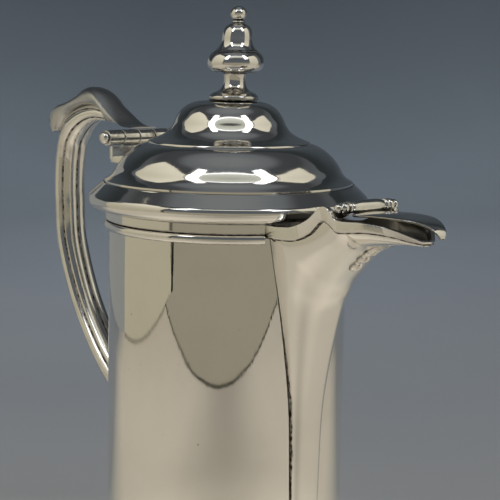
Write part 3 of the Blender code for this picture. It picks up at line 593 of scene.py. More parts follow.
def edgeKnots():
    knots = []
    for i, (reach, width, height) in enumerate(spout["edge"]):
        half = width * spout["half"]
        out = vessel["radius"] + reach * spout["reach"]
        if i < spout["knotsOnBody"]:
            out = math.sqrt((vessel["radius"] - spout["bite"]) ** 2 - half**2)
        knots.append(Vector((out, half, fromRim(height))))
    return knots


def keelKnots():
    return [Vector((vessel["radius"] + out * spout["reach"], 0, fromRim(up))) for out, up in spout["keel"]]


def spoutLines(steps):
    # edge and keel with one common spacing, so no row makes a crease
    lines = edgeKnots(), keelKnots()
    count = len(lines[0])
    spans = [math.sqrt(sum((line[i + 1] - line[i]).length for line in lines)) for i in range(count - 1)]
    smooth = []
    for line in lines:
        slopes = [(line[i + 1] - line[i]) / spans[i] for i in range(count - 1)]
        middle = [(slopes[i - 1] * spans[i] + slopes[i] * spans[i - 1]) / (spans[i - 1] + spans[i])
                  for i in range(1, count - 1)]
        pulls = [slopes[0], *middle, slopes[-1]]
        points = []
        for i, span in enumerate(spans):
            for k in range(steps):
                t = k / steps
                spot = line[i] * (1 + 2 * t) * (1 - t) ** 2 + line[i + 1] * t * t * (3 - 2 * t)
                points.append(spot + (pulls[i] * (1 - t) - pulls[i + 1] * t) * span * t * (1 - t))
        smooth.append([*points, line[-1].copy()])
    return smooth


def spoutRows(steps, sides):
    blunt = spout["bluntness"]
    rows = []
    for edge, keel in zip(*spoutLines(steps)):
        row = []
        for k in range(sides + 1):
            turn = math.pi * (k / sides - 0.5)
            spot = keel + (Vector((edge.x, 0, edge.z)) - keel) * (1 - math.cos(turn) ** blunt)
            spot.y = edge.y * math.copysign(abs(math.sin(turn)) ** blunt, turn)
            row.append(spot)
        rows.append(row)
    return rows


def clearOfBody(piece):
    radius, top = vessel["radius"] + joinGap, vessel["wallTop"] + vessel["radius"]
    core = [(0, top), (radius, top), (radius, 0), (0, 0)]
    trim(piece, spin("bodyGuard", core, None, closed=False, steps=192))


def mouthCutter():
    margin, above = spout["mouthMargin"], 2 * mm
    right = []
    for spot in spoutLines(4)[0]:
        if vessel["rimZ"] - spout["mouthDepth"] <= spot.z <= vessel["rimZ"]:
            right.append((spot.y - margin, spot.z))
    right.append((spout["half"] - margin, vessel["wallTop"] + above))
    line = right + [(-y, z) for y, z in reversed(right)]
    count = len(line)
    points = [(x, y, z) for x in (0.5 * vessel["radius"], 2 * vessel["radius"]) for y, z in line]
    faces = [tuple(range(count)), tuple(range(2 * count - 1, count - 1, -1))]
    faces += [(i, (i + 1) % count, count + (i + 1) % count, count + i) for i in range(count)]
    mesh = newMesh("mouthCutter", points, faces=faces)
    settle(mesh)
    return newPiece("mouthCutter", mesh, None)


def makeBody():
    ring = ringLine(vessel["radius"] - vessel["wall"], vessel["radius"], 0, vessel["wallTop"], turnedEdge)
    wall = spin("bodyWall", ring, raisedSilver, steps=192)
    trim(wall, mouthCutter())
    crisp(wall.data)
    dullShadedSide(wall.data, lambda spot: Vector((-spot.x, -spot.y, 0)))
    seat(wall, "flagon_body", "body", "body_wall")


makeBody()

rimTrim = dict(beadHeight=3.8 * mm, beadSwell=1.7 * mm, beadRoot=0.3 * mm, bandThickness=1.1 * mm,
               bandEdge=0.35 * mm, lipThickness=1.1 * mm, stainDepth=0.55 * mm)


def makeRim():
    inner, root = vessel["radius"] + joinGap, rimTrim["beadRoot"]
    low, top = vessel["rimZ"], vessel["rimZ"] + rimTrim["beadHeight"]
    gate = math.asin((spout["half"] + rimTrim["lipThickness"] + 2 * joinGap) / vessel["radius"])
    bead = [(inner, top), *halfOval(inner + root, low, top, rimTrim["beadSwell"] - root), (inner, low)]
    outer = inner + rimTrim["bandThickness"]
    band = ringLine(inner, outer, top + joinGap, vessel["wallTop"], rimTrim["bandEdge"])
    for name, node, line in (("rimBead", "rim_bead", bead), ("rimBand", "rim_band", band)):
        piece = spin(name, line, spunSilver, steps=176, turn=(gate, fullTurn - 2 * gate))
        # dark at the lower and upper ends, as polish never reaches a joint
        low, high = min(z for r, z in line), max(z for r, z in line)
        setJointAndShade(piece.data, lambda spot: 1 - min(spot.z - low, high - spot.z) / rimTrim["stainDepth"])
        seat(piece, "flagon_body", "body", node)


makeRim()
print("flagon: body and rim done")


def fromCore(spot):
    return Vector((spot.x - spout["coreX"], spot.y, (spot.z - spout["coreZ"]) * spout["coreFlatness"]))


def makeSpout():
    mesh = gridMesh("spoutShell", spoutRows(spout["steps"], spout["sides"]))
    shell = newPiece("spoutShell", mesh, spoutSilver)
    settle(mesh, fromCore)
    wallOf(shell, spout["wall"])
    freeze(shell)
    clearOfBody(shell)
    crisp(shell.data)
    dullShadedSide(shell.data, lambda spot: -fromCore(spot))
    seat(shell, "flagon_body", "spout", "spout_shell")


makeSpout()

lip = dict(
    thickness=1.1 * mm,
    rise=0.6 * mm,
    # a dark joint and painted shade: the dark line under the strip's lower edge
    line=0.75 * mm,  # the dark line along its lower edge
    soft=0.35 * mm,
    lean=0.18,
    width=6.0 * mm,
    shares=(0.83, 0.82, 0.88, 0.92, 0.88, 1.0, 0.78, 0.70, 0.56, 0.47, 0.33, 0.17),
)


def lipStations():
    # spot, outward direction, lower and upper level, along the near side, the nose and the far side
    edge = spoutLines(spout["steps"])[0][(spout["knotsOnBody"] - 1) * spout["steps"] :]
    widths = splineThrough([Vector((lip["width"] * share, 0, 0)) for share in lip["shares"]], spout["steps"])
    side = []
    for i, spot in enumerate(edge):
        ahead = edge[min(i + 1, len(edge) - 1)] - edge[max(i - 1, 0)]
        outward = Vector((-ahead.y, ahead.x, 0)).normalized()
        side.append((spot, outward, spot.z - widths[i].x, spot.z + lip["rise"]))
    tip = edgeKnots()[-1]
    nose = Vector((tip.x + tip.y / 2, 0, tip.z))
    front = [(nose, Vector((1, 0, 0)), nose.z - widths[-1].x, nose.z + lip["rise"])]
    back = [(Vector((p.x, -p.y, p.z)), Vector((o.x, -o.y, 0)), low, high)
            for p, o, low, high in reversed(side)]
    return side + front + back


def makeLip():
    soft, outer = lip["soft"], joinGap + lip["thickness"]
    bit = 0.3 * soft
    rows, dark = [], []
    for spot, outward, low, high in lipStations():
        top = outer + lip["lean"] * (high - low)
        section = [(joinGap, low), (outer - soft, low), (outer - bit, low + bit), (outer, low + soft),
                   (outer, low + lip["line"]), (top, high - soft), (top - bit, high - bit),
                   (top - soft, high), (joinGap, high)]
        rows.append([(spot.x + outward.x * o, spot.y + outward.y * o, z) for o, z in section])
        # a dark joint and painted shade: the strip's lower corner and underside are painted dark
        dark += [1.0 if z < low + 0.6 * lip["line"] else 0.0 for o, z in section]
    mesh = gridMesh("spoutLip", rows, loop=True)
    storeJointAndShade(mesh, dark)
    fillHoles(mesh)
    settle(mesh)
    strip = newPiece("spoutLip", mesh, lipSilver)
    clearOfBody(strip)
    crisp(strip.data)
    seat(strip, "flagon_body", "spout", "spout_lip")


makeLip()
print("flagon: spout done")

# lid, in shares of the body's radius and of the height above the lower dome's foot
lid = dict(
    domeOut=2.0 * mm,
    domeFoot=0.8 * mm,
    wall=1.0 * mm,
    flangeHeight=11.9 * mm,
    studHole=1.6 * mm,
    bezelGap=0.5 * mm,
    bezelWall=0.9 * mm,
    bezelDepth=7.2 * mm,
    crown=((0.18, 1.0), (0.28, 0.983), (0.35, 0.945), (0.406, 0.88), (0.448, 0.788), (0.476, 0.70),
           (0.512, 0.625), (0.568, 0.567), (0.632, 0.526), (0.668, 0.505)),
    ring=((0.676, 0.499), (0.680, 0.489), (0.681, 0.478)),
    shoulder=((0.684, 0.481), (0.75, 0.448), (0.82, 0.383), (0.88, 0.301), (0.926, 0.209), (0.956, 0.127),
              (0.988, 0.073)),
    flare=((0.0, 0.916), (0.06, 0.93), (0.15, 0.885), (0.40, 0.765), (0.65, 0.64), (0.88, 0.525)),
    roll=((0.88, 0.525), (0.95, 0.475), (0.99, 0.415), (1.0, 0.35), (0.985, 0.28), (0.94, 0.20),
          (0.84, 0.12), (0.62, 0.05), (0.242, 0.0)),
)


def makeLid():
    bead, ledge = vessel["radius"] + lid["domeOut"], vessel["flangeTop"] - lid["wall"]
    footZ = ledge + joinGap
    tall = vessel["lidTop"] - footZ
    crown, ring, shoulder = ([(vessel["radius"] * out, footZ + tall * up) for out, up in lid[part]]
                             for part in ("crown", "ring", "shoulder"))
    lower = smoothLine(shoulder + [(bead, footZ + lid["domeFoot"])])
    line = [(lid["studHole"], vessel["lidTop"]), *smoothLine(crown), *ring, *lower, (bead, footZ)]
    dome = spin("lidDome", line, spunSilver, closed=False, steps=192, wall=lid["wall"], sharp=30)
    dullShadedSide(dome.data, lambda spot: Vector((-spot.x, -spot.y, vessel["rimZ"] - spot.z)))
    seat(dome, "lid", "lid", "lid_dome")
    bezel = vessel["radius"] - vessel["wall"] - lid["bezelGap"]
    start, inner, seatZ = bead + joinGap, bezel + joinGap, vessel["lidSeat"]
    wide = vessel["flangeRadius"] - start
    flare, roll = ([(start + wide * out, seatZ + lid["flangeHeight"] * up) for out, up in lid[part]]
                   for part in ("flare", "roll"))
    sheet = [(inner, ledge), *smoothLine(flare), *smoothLine(roll)[1:], (inner, seatZ)]
    flange = spin("lidFlange", sheet, spunSilver, closed=False, steps=192, wall=lid["wall"], sharp=34)
    seat(flange, "lid", "lid", "lid_flange")
    low = vessel["wallTop"] - lid["bezelDepth"]
    line = ringLine(bezel - lid["bezelWall"], bezel, low, ledge - joinGap, turnedEdge)
    seat(spin("lidBezel", line, innerSilver), "lid", "lid", "lid_bezel")


makeLid()

# finial: each stage's bows and foot in shares of its radius and height
finial = dict(
    bore=1.6 * mm,
    offset=Vector((0.9, 1.1, 0)) * mm,
    lean=Vector((0.029, 0.034, 0)),
    stainShare=1.5,
    ballRadius=3.4 * mm,
    collarHeight=0.9 * mm,
    collarGap=0.35 * mm,
    # shares of the ball's radius
    ballNeck=0.62,
    ballRaise=0.78,
    ballTall=0.9,
    ballSocket=0.2,
    collarSwell=0.24,
    ballStain=1.6,
    ballStainDepth=0.3 * mm,
    stages=dict(
        base=dict(radius=10.3 * mm, height=11.5 * mm, soft=0.4 * mm, darkening=0.8 * mm, stainFrom=0.0, steps=24,
                  bows=(((0.48, 1.0), (0.40, 0.75), (0.40, 0.34), (0.86, 0.26)),),
                  foot=((1.0, 0.14), (1.0, 0.0))),
        bulb=dict(radius=11.9 * mm, height=8.7 * mm, soft=0.3 * mm, darkening=0.8 * mm, stainFrom=0.6, steps=16,
                  bows=(((0.76, 1.0), (0.98, 0.9), (1.0, 0.48), (1.0, 0.48)),
                        ((1.0, 0.48), (1.0, 0.18), (0.86, 0.08), (0.68, 0.0))), foot=()),
        bell=dict(radius=6.3 * mm, height=11.5 * mm, soft=0.3 * mm, darkening=0.7 * mm, stainFrom=0.0, steps=16,
                  bows=(((0.42, 1.0), (0.8, 0.96), (1.0, 0.8), (1.0, 0.45)),
                        ((1.0, 0.45), (1.0, 0.25), (1.2, 0.1), (1.42, 0.0))), foot=()),
    ),
)


def leanFinial(mesh):
    for vertex in mesh.vertices:
        vertex.co += finial["offset"] + finial["lean"] * max(0.0, vertex.co.z - vessel["lidTop"])


def makeFinial():
    bore, high = finial["bore"], vessel["lidTop"]
    for name, stage in finial["stages"].items():
        low, high = high + joinGap, high + stage["height"]
        tall, wide = high - low, stage["radius"]
        outline = []
        for shares in stage["bows"]:
            points = bow(*((wide * out, low + tall * up) for out, up in shares), stage["steps"])
            outline += points[1:] if outline else points
        outline += [(wide * out, low + tall * up) for out, up in stage["foot"]]
        line = softCorners([(bore, high), *outline, (bore, low)], stage["soft"], closed=True)
        piece = spin("finial" + name.title(), line, spunSilver, steps=96)
        share, depth, start = finial["stainShare"], stage["darkening"], stage["stainFrom"] * wide
        setJointAndShade(piece.data, lambda spot: share * (1 - min(spot.z - low, high - spot.z) / depth)
                 if math.hypot(spot.x, spot.y) > start else 0.0)
        leanFinial(piece.data)
        seat(piece, "lid", "finial", "finial_" + name)
    low, ball, collar = high + joinGap, finial["ballRadius"], finial["collarHeight"]
    waist, neck = low + collar + finial["collarGap"], finial["ballNeck"] * ball
    centre = waist + finial["ballRaise"] * ball
    socket = centre - finial["ballSocket"] * ball
    rise = finial["ballTall"] * ball
    turns = [math.pi * k / 36 for k in range(30)]
    top = [(ball * math.sin(turn), centre + rise * math.cos(turn)) for turn in turns]
    ring = halfOval(neck, low, low + collar, finial["collarSwell"] * ball, 10)
    line = [*top, (neck, waist), *ring, (bore, low), (bore, socket), (0, socket)]
    piece = spin("finialBall", line, spunSilver, closed=False, steps=64)
    share, depth = finial["ballStain"], finial["ballStainDepth"]
    setJointAndShade(piece.data, lambda spot: share - min(spot.z - low, abs(spot.z - waist)) / depth)
    leanFinial(piece.data)
    seat(piece, "lid", "finial", "finial_ball")


makeFinial()
print("flagon: lid and finial done")

# handle, in shares of its reach and of its rise or drop
handle = dict(
    reach=69 * mm,
    drop=92 * mm,
    rise=45.2 * mm,
    width=16.0 * mm,
    depth=13.2 * mm,
    reeds=6,
    reedDepth=0.75 * mm,
    tipShare=0.45,
    tipLength=26 * mm,
    capHalf=7.0 * mm,
    capFlatness=0.85,
    capSink=0.6 * mm,
    capRows=90,
    capSides=48,
    # painted shade: the eye's dark spot stands for the shade in the scroll's recess
    capEye=(1.14, 0.86),
    eyeRadius=1.1 * mm,
    eyeShade=1.8,
    throat=Vector((6.0, 0, -3.4)) * mm,  # from the limb's upper end
    padRadius=10.4 * mm,
    padThickness=3.0 * mm,
    padRound=1.6 * mm,
    line=((0.536, 0.958), (0.652, 0.973), (0.768, 0.936), (0.877, 0.841), (0.957, 0.697), (0.99, 0.531),
          (1.004, 0.38), (1.01, 0.20), (1.005, 0.0), (0.97, -0.217), (0.80, -0.5), (0.54, -0.75),
          (0.25, -0.935)),
    capTop=((0.246, 0.869), (0.319, 0.913), (0.391, 0.99), (0.478, 1.082), (0.58, 1.187), (0.674, 1.236),
            (0.754, 1.228), (0.848, 1.15), (0.978, 1.066), (1.087, 1.029), (1.171, 0.951), (1.176, 0.82),
            (1.10, 0.735)),
    spurUnder=(1.055, 0.76),
)


def behind(knot):
    reach, height = knot
    up = vessel["rimZ"] + height * (handle["rise"] if height > 0 else handle["drop"])
    return Vector((-(vessel["radius"] + reach * handle["reach"]), 0, up))


def limbPath(steps):
    out = vessel["radius"] + handle["padThickness"] + joinGap
    end = Vector((-out, 0, vessel["rimZ"] - handle["drop"]))
    knots = [behind(knot) for knot in handle["line"]] + [end - Vector((handle["depth"] / 2, 0, 0))]
    return splineThrough(knots, steps) + [end]


def limbTree():
    tree, entry = newGroup("reededLimb", "GeometryNodeTree", {
        "Path": "Geometry", "Width": "Float", "Depth": "Float", "Reeds": "Int", "Reed Depth": "Float",
        "Tip Share": "Float", "Tip Length": "Float", "Finish": "Material",
    }, {"Mesh": "Geometry"})
    share = put(tree, "GeometryNodeSplineParameter").outputs["Factor"]
    turn = calc(tree, "MULTIPLY", calc(tree, "MULTIPLY", share, math.pi), entry["Reeds"])
    wave = calc(tree, "COSINE", turn)
    hollow = calc(tree, "SUBTRACT", 1, calc(tree, "ABSOLUTE", wave))
    cutIn = calc(tree, "MULTIPLY", hollow, entry["Reed Depth"])
    wide, deep = (calc(tree, "SUBTRACT", calc(tree, "MULTIPLY", entry[name], 0.5), cutIn)
                  for name in ("Width", "Depth"))
    spot = put(tree, "GeometryNodeInputPosition").outputs["Position"]
    place = vectorCalc(tree, "MULTIPLY", spot, join(tree, X=wide, Y=deep), "Vector")
    ring = put(tree, "GeometryNodeCurvePrimitiveCircle", {"Resolution": 160, "Radius": 1})
    shape = put(tree, "GeometryNodeSetPosition", {"Geometry": ring.outputs["Curve"], "Position": place})
    # painted shade: the grooves between the reeds are painted dark
    grooveShade = put(tree, "GeometryNodeStoreNamedAttribute", domain="POINT", data_type="FLOAT")
    dark = remap(tree, hollow, 0.58, 0.95, 0, 0.95, smooth=True)
    give(tree, grooveShade, {"Geometry": shape.outputs["Geometry"], "Name": "jointAndShade", "Value": dark})
    along = put(tree, "GeometryNodeSplineParameter").outputs["Length"]
    grow = remap(tree, along, 0, entry["Tip Length"], entry["Tip Share"])
    path = put(tree, "GeometryNodeMeshToCurve", {"Mesh": entry["Path"]})
    thin = put(tree, "GeometryNodeSetCurveRadius", {"Curve": path.outputs["Curve"], "Radius": grow})
    sweep = put(tree, "GeometryNodeCurveToMesh", {
        "Curve": thin.outputs["Curve"], "Profile Curve": grooveShade.outputs["Geometry"], "Scale": grow,
        "Fill Caps": True,
    })
    coat(tree, sweep.outputs["Mesh"], entry["Finish"])
    return tree


def makeLimb():
    limb = newPiece("handleLimb", wireMesh("handleLimb", limbPath(10)), None)
    runNodes(limb, limbTree(), {
        "Width": handle["width"], "Depth": handle["depth"], "Reeds": handle["reeds"],
        "Reed Depth": handle["reedDepth"], "Tip Share": handle["tipShare"],
        "Tip Length": handle["tipLength"], "Finish": castSilver,
    })
    settle(limb.data, sharp=50)
    seat(limb, "flagon_body", "handle", "handle_limb")
    thick, radius, turn = handle["padThickness"], handle["padRadius"], handle["padRound"]
    pull = turn - 1.0 * mm
    edge = bow((radius - turn, thick), (radius - pull, thick), (radius, thick - pull),
               (radius, thick - turn), 8)
    line = [(0, thick), *edge, (radius, -thick), (0, -thick)]
    pad = spin("handlePad", line, castSilver, closed=False, steps=64)
    pad.data.transform(Matrix.Translation((-vessel["radius"], 0, vessel["rimZ"] - handle["drop"]))
                       @ Matrix.Rotation(-math.pi / 2, 4, "Y"))
    clearOfBody(pad)
    seat(pad, "flagon_body", "handle", "handle_pad")


makeLimb()


def evenLine(line, count):
    # the same line with its points at equal distances
    runs = [0.0]
    for a, b in zip(line, line[1:]):
        runs.append(runs[-1] + (b - a).length)
    result, i = [], 0
    for k in range(count + 1):
        want = runs[-1] * k / count
        while i < len(line) - 2 and runs[i + 1] < want:
            i += 1
        result.append(line[i].lerp(line[i + 1], (want - runs[i]) / max(runs[i + 1] - runs[i], 1e-9)))
    return result


def capBed(path, floor):
    # the limb's upper side, a little inside it, down to the spur
    bed, run = [], 0.0
    for i, spot in enumerate(path):
        run += (spot - path[i - 1]).length if i else 0.0
        share = min(1.0, handle["tipShare"] + (1 - handle["tipShare"]) * run / handle["tipLength"])
        ahead = path[i + 1] - path[max(i - 1, 0)]
        aside = Vector((ahead.z, 0, -ahead.x)).normalized()
        place = spot + aside * (share * handle["depth"] / 2 - handle["capSink"])
        if place.z < floor:
            break
        bed.append(place)
    return bed


def makeCap():
    start = Vector((vessel["hinge"].x, 0, vessel["hinge"].z + vessel["knuckleRadius"] + joinGap))
    over = splineThrough([start + Vector((0, 0, 2 * joinGap))] + [behind(k) for k in handle["capTop"]], 8)
    spur, path = behind(handle["spurUnder"]), limbPath(8)
    under = [start, path[0] + handle["throat"], *capBed(path, spur.z), spur]
    sides, rows = handle["capSides"], []
    for high, low in zip(evenLine(over, handle["capRows"]), evenLine(under, handle["capRows"])):
        middle, rise = (high + low) / 2, (high - low) / 2
        row = []
        for k in range(sides):
            turn = fullTurn * k / sides
            across = math.copysign(abs(math.cos(turn)) ** handle["capFlatness"], math.cos(turn))
            row.append(middle + rise * math.sin(turn) + Vector((0, handle["capHalf"] * across, 0)))
        rows.append(row)
    mesh = gridMesh("handleCap", rows, loop=True)
    fillHoles(mesh)
    settle(mesh, sharp=60)
    # painted shade: a dark spot at the scroll's eye, where its recess would be shaded
    eye = behind(handle["capEye"])
    share, radius = handle["eyeShade"], handle["eyeRadius"]
    setJointAndShade(mesh, lambda spot: share - math.hypot(spot.x - eye.x, spot.z - eye.z) / radius)
    seat(newPiece("handleCap", mesh, capShadedSilver), "flagon_body", "handle", "handle_cap")


makeCap()

# lid hinge
hinge = dict(length=42 * mm, count=5, gap=0.4 * mm, bore=1.5 * mm, pinRadius=1.2 * mm, headRadius=2.9 * mm,
             headHeight=2.0 * mm)


def makeLidHinge():
    pitch, gap = hinge["length"] / hinge["count"], hinge["gap"]
    for index in range(hinge["count"]):
        low = -hinge["length"] / 2 + index * pitch + gap / 2
        ring = ringLine(hinge["bore"], vessel["knuckleRadius"], low, low + pitch - gap, turnedEdge)
        side, body = (("lid", "lid"), ("handle", "flagon_body"))[index % 2]
        number = str(index // 2 + 1)
        piece = spin(side + "Knuckle" + number, ring, hingeSilver, steps=48, lay=vessel["hinge"])
        seat(piece, body, "hinge", side + "_knuckle_" + number)
    half, wide, tall = hinge["length"] / 2 + gap, hinge["headRadius"], hinge["headHeight"]
    head = bow((0, half + tall), (0.6 * wide, half + tall), (wide, half + 0.7 * tall), (wide, half), 12)
    upper = softCorners([*head, (hinge["pinRadius"], half)], pinEdge)
    line = upper + [(r, -z) for r, z in reversed(upper)]
    pin = spin("lidHingePin", line, hingeSilver, closed=False, steps=48, lay=vessel["hinge"])
    seat(pin, "flagon_body", "pins", "lid_hinge_pin")


makeLidHinge()


def roundedCopy(name, node, width):
    # a CAD solid with its edges broken, as a file leaves them
    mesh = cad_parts[node].data.copy()
    mesh.materials.clear()
    with editing(mesh) as tool:
        bmesh.ops.remove_doubles(tool, verts=tool.verts, dist=weldGap)
        bmesh.ops.dissolve_limit(tool, angle_limit=math.radians(2), verts=tool.verts, edges=tool.edges)
    piece = newPiece(name, mesh, hingeSilver)
    breakEdges(piece, width, 3, 40)
    return piece


seat(roundedCopy("lidHingeLeaf", "lid_hinge_leaf", 0.35 * mm), "lid", "hinge", "lid_hinge_leaf")
seat(roundedCopy("hingeStrap", "hinge_strap", 0.5 * mm), "flagon_body", "hinge", "hinge_strap")
print("flagon: handle and hinge done")

# flap over the beak and its hinge: heights, half-widths and the sides' fall in mm, by share of the reach
flap = dict(
    thickness=1.0 * mm,
    edge=0.45 * mm,
    reach=35.9 * mm,
    steps=10,
    halfSteps=20,
    crown=((0.0, -1.6), (0.2, -1.15), (0.45, -0.85), (0.62, -1.1), (0.77, -1.9), (0.88, -3.1), (0.955, -4.7),
           (0.99, -6.5), (1.0, -8.0)),
    wide=((0.0, 10.2), (0.45, 9.6), (0.62, 8.6), (0.77, 6.5), (0.88, 4.7), (0.955, 3.2), (0.985, 2.2),
          (1.0, 0.9)),
    hang=((0.0, 1.0), (0.45, 1.1), (0.62, 0.9), (0.77, 0.6), (1.0, 0.4)),
    facing=Vector((0.3, 0, 1)),
    gap=0.4 * mm,
    bore=1.2 * mm,
    pinRadius=0.9 * mm,
    pinReach=0.2 * mm,
    barrelRadius=2.3 * mm,
    barrelLength=20.6 * mm,
    # swell and distance from the barrel's end, in mm
    barrelLine=((-0.1, 0.0), (0.1, 0.5), (0.0, 1.1), (-0.5, 1.4), (-0.2, 2.2), (0.2, 5.0), (0.3, 10.3)),
    # share of the barrel's radius and distance from the lug's inner face, in mm
    lugLine=((0.7, 0), (0.95, 0.5), (1.0, 1.3), (0.92, 2.2), (0.62, 3.0), (0.66, 3.4), (0.78, 4.0),
             (0.72, 4.8), (0.4, 5.4), (0.0, 5.6)),
)


def alongFlap(values):
    # values read off at the crown's own shares
    fine = smoothLine(values, 24)
    shares = [share for share, high in smoothLine(flap["crown"], flap["steps"])]
    return [min(fine, key=lambda item: abs(item[0] - share))[1] for share in shares]


def flapRows():
    axis, count = vessel["flapAxis"], flap["halfSteps"]
    start = axis.x + flap["barrelRadius"] + joinGap
    crown = smoothLine(flap["crown"], flap["steps"])
    rows = []
    for (share, high), half, hang in zip(crown, alongFlap(flap["wide"]), alongFlap(flap["hang"])):
        row = []
        for k in range(-count, count + 1):
            turn = math.pi / 2 * k / count
            level = axis.z + mm * (high - hang * (1 - math.cos(turn)))
            row.append((start + share * flap["reach"], half * mm * math.sin(turn), level))
        rows.append(row)
    return rows


def makeFlap():
    mesh = gridMesh("spoutFlap", flapRows())
    settle(mesh, lambda spot: flap["facing"])
    cover = newPiece("spoutFlap", mesh, castSilver)
    wallOf(cover, flap["thickness"])
    breakEdges(cover, flap["edge"], 4, 50)
    dullShadedSide(cover.data, lambda spot: -flap["facing"])
    seat(cover, "spout_flap", "spout", "spout_flap")
    half, radius, bore = flap["barrelLength"] / 2, flap["barrelRadius"], flap["bore"]
    ring = [(radius + swell * mm, half - along * mm) for swell, along in flap["barrelLine"]]
    outer = smoothLine(ring + [(r, -y) for r, y in reversed(ring[:-1])], 4)
    line = [(bore, half), *outer, (bore, -half)]
    barrel = spin("flapBarrel", line, castSilver, steps=40, lay=vessel["flapAxis"])
    seat(barrel, "spout_flap", "hinge", "flap_barrel")


def makeLugs():
    axis, inner = vessel["flapAxis"], flap["barrelLength"] / 2 + flap["gap"]
    bead = [(flap["barrelRadius"] * share, inner + y * mm) for share, y in flap["lugLine"]]
    line = [(0.0, inner), *smoothLine(bead, 4)]
    for name, node, side in (("flapLugLeft", "flap_lug_left", 1), ("flapLugRight", "flap_lug_right", -1)):
        piece = spin(name, [(r, -side * y) for r, y in line], castSilver, closed=False, steps=40, lay=axis)
        seat(piece, "flagon_body", "hinge", node)
    reach = inner + flap["pinReach"]
    rod = rodLine(flap["pinRadius"], -reach, reach, pinEdge)
    pin = spin("flapPin", rod, hingeSilver, closed=False, steps=24, lay=axis)
    seat(pin, "flagon_body", "pins", "flap_pin")


makeFlap()
makeLugs()

# shell and drop under the beak: beads first, then a ribbed fan
drop = dict(firstKnot=23 / 3, lastKnot=40 / 3, steps=12, sides=160, halfSteps=18, beadShare=0.45, beads=3,
            relief=2.4 * mm, sink=0.15 * mm, ribs=7)


def dropSection(along):
    # half-width in section steps, share of the relief and depth of the ribs
    if along < drop["beadShare"]:
        bead = along / drop["beadShare"]
        swell = abs(math.sin(drop["beads"] * math.pi * bead))
        return 1.6 + 2.0 * bead + 1.0 * swell, 0.45 + 0.55 * swell, 0.0
    fan = (along - drop["beadShare"]) / (1 - drop["beadShare"])
    return 4.0 + 6.4 * fan, 0.75 - 0.55 * fan, 1.0 - 0.5 * fan


def dropPoint(across, tall, ribbed):
    # height over the shell and how dark one point of a section is painted: a dark joint with painted shade
    # along the outline, painted shade in the rib hollows, bead dimples and waists
    hollow = 1 - abs(math.cos(0.5 * math.pi * drop["ribs"] * across))
    edge = math.sqrt(1 - across**2)
    pit = 0.0 if ribbed else math.exp(-((across / 0.34) ** 2)) * max(0.0, 2 * tall - 1)
    waist = 0.0 if ribbed else 0.7 - 1.4 * tall
    high = drop["relief"] * tall * edge * (1 - 0.55 * ribbed * hollow - 0.75 * pit) - drop["sink"]
    return high, max(1.2 - 2.8 * edge, 1.2 * ribbed * hollow**2, 0.45 * pit, waist)


def makeDrop():
    first, last = (round(drop[end] * drop["steps"]) for end in ("firstKnot", "lastKnot"))
    sections = spoutRows(drop["steps"], drop["sides"])[first : last + 1]
    count, half = len(sections), drop["halfSteps"]
    flat, heights, dark = [], [], []
    for i, section in enumerate(sections):
        wide, tall, ribbed = dropSection(i / (count - 1))
        row, highs = [], []
        for k in range(-half, half + 1):
            place = drop["sides"] / 2 + k / half * wide
            low = int(place)
            row.append(section[low].lerp(section[low + 1], place - low))
            high, darkening = dropPoint(k / half, tall, ribbed)
            highs.append(high if 0 < i < count - 1 else -drop["sink"])
            dark.append(darkening)
        flat.append(row)
        heights.append(highs)
    rows = []
    for i, row in enumerate(flat):
        ahead = flat[min(i + 1, count - 1)][half] - flat[max(i - 1, 0)][half]
        raised = []
        for j, spot in enumerate(row):
            aside = row[min(j + 1, 2 * half)] - row[max(j - 1, 0)]
            raised.append(spot + aside.cross(ahead).normalized() * heights[i][j])
        rows.append(raised)
    mesh = gridMesh("spoutDrop", rows)
    storeJointAndShade(mesh, dark)
    settle(mesh, lambda spot: Vector((0.7, 0, -0.7)), sharp=60)
    seat(newPiece("spoutDrop", mesh, castSilver), "flagon_body", "spout", "spout_drop")


makeDrop()

# stud, washer and nut that hold the finial on
fixing = dict(studRadius=1.3 * mm, studTop=3.5 * mm, washerRadius=6.0 * mm, washerThickness=1.0 * mm,
              nutRadius=4.2 * mm, nutHeight=3.2 * mm, edge=0.25 * mm)


def makeFixing():
    radius = fixing["studRadius"]
    high = vessel["lidTop"] - lid["wall"] - joinGap
    for name, node, outer, tall, steps in (
        ("finialWasher", "finial_washer", fixing["washerRadius"], fixing["washerThickness"], 64),
        ("finialNut", "finial_nut", fixing["nutRadius"], fixing["nutHeight"], 6),
    ):
        low = high - tall
        ring = ringLine(radius + joinGap, outer, low, high, fixing["edge"])
        seat(spin(name, ring, hingeSilver, steps=steps), "lid", "finial", node)
        high = low - joinGap
    top = vessel["lidTop"] + sum(stage["height"] for stage in finial["stages"].values()) + fixing["studTop"]
    rod = rodLine(radius, high + joinGap - radius, top, turnedEdge)
    stud = spin("finialStud", rod, hingeSilver, closed=False, steps=32)
    leanFinial(stud.data)
    seat(stud, "lid", "finial", "finial_stud")


makeFixing()
print("flagon: flap, ornament and fixings done")

